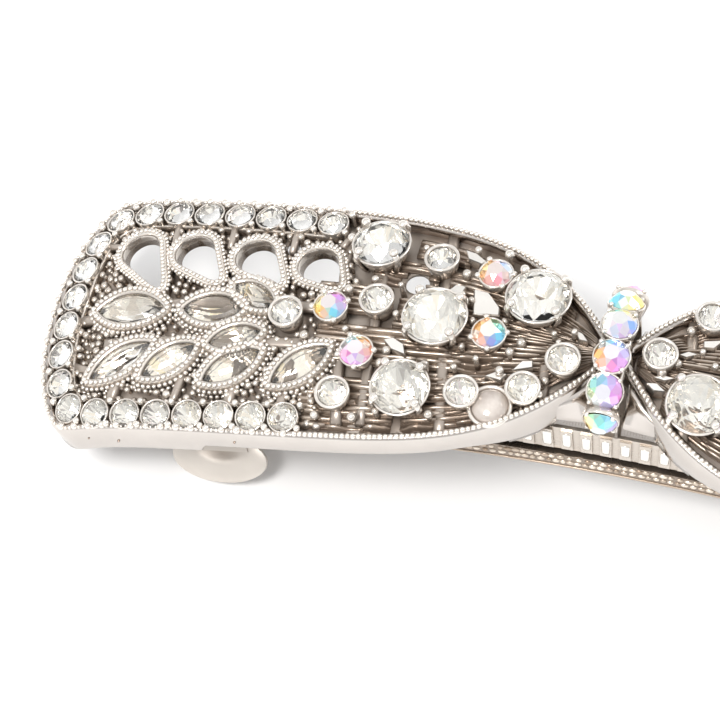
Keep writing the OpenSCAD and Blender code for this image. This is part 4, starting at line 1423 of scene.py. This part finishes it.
# ---------------------------------------------------------------- floor, light, camera
floor_z = lo0[2]
me = bpy.data.meshes.new("floor")
k = 3.0
me.from_pydata([(-k, -k, floor_z), (k, -k, floor_z), (k, k, floor_z), (-k, k, floor_z)], [], [(0, 1, 2, 3)])
floor = bpy.data.objects.new("floor", me)
bpy.context.scene.collection.objects.link(floor)
fmat, fnt, fb = nodes_of("floor_white")
link(fnt, ramp(fnt, noise(fnt, 3), [(.3, (.93, .93, .93)), (.7, (.95, .95, .95))]), fb.inputs["Base Color"])
fb.inputs["Roughness"].default_value = .9
fb.inputs["Specular IOR Level"].default_value = .1
me.materials.append(fmat)

world = bpy.data.worlds.new("studio")
bpy.context.scene.world = world
world.use_nodes = True
wt = world.node_tree
bg = wt.nodes["Background"]
tc = wt.nodes.new("ShaderNodeTexCoord")
sx = wt.nodes.new("ShaderNodeSeparateXYZ")
link(wt, tc.outputs["Generated"], sx.inputs["Vector"])
mr = wt.nodes.new("ShaderNodeMapRange")
mr.inputs["From Min"].default_value = -1
mr.inputs["From Max"].default_value = 1
link(wt, sx.outputs["Z"], mr.inputs["Value"])
sky = ramp(wt, mr.outputs["Result"], [(0, (.9,)), (.5, (1.0,)), (.62, (.95,)), (.74, (.62,)), (.86, (.78,)), (.95, (1.0,)), (1, (1.0,))])
link(wt, sky, bg.inputs["Color"])
bg.inputs["Strength"].default_value = 1.13


def area(name, at, aim, size, power, colour=(1, 1, 1)):
    d = bpy.data.lights.new(name, "AREA")
    d.shape = "RECTANGLE"
    d.size, d.size_y = size
    d.energy = power
    d.color = colour
    o = bpy.data.objects.new(name, d)
    o.location = at
    o.rotation_euler = (Vector(aim) - Vector(at)).to_track_quat("-Z", "Y").to_euler()
    bpy.context.scene.collection.objects.link(o)
    return o


area("key", (-.26, -.42, .85), (-.01, 0, .01), (.26, .26), 6.5, (1, .985, .97))
area("fill", (.55, .35, .5), (0, 0, .01), (.25, .4), 1.2, (.97, .98, 1))

az, el = math.radians(12.17), math.radians(60)
back = Vector((math.sin(az) * math.cos(el), -math.cos(az) * math.cos(el), math.sin(el)))
right = Vector((math.cos(az), math.sin(az), 0))
up = back.cross(right)
ref = Vector((0, 0, ZT)) * MM
cam_d = bpy.data.cameras.new("camera")
cam = bpy.data.objects.new("camera", cam_d)
cam.location = ref + back * .5
target = ref + right * (-19.864 * MM) + up * (.192 * MM)
cz = (cam.location - target).normalized()
cx = (right - cz * right.dot(cz)).normalized()
cy = cz.cross(cx)
cam.rotation_euler = Matrix((cx, cy, cz)).transposed().to_euler()
cam_d.sensor_width = 36
cam_d.lens = 325
cam_d.clip_start = .01
cam_d.clip_end = 20
bpy.context.scene.collection.objects.link(cam)
bpy.context.scene.camera = cam
vs = bpy.context.scene.view_settings
vs.view_transform = "Standard"
vs.look = "None"
vs.exposure = 0
vs.gamma = 1
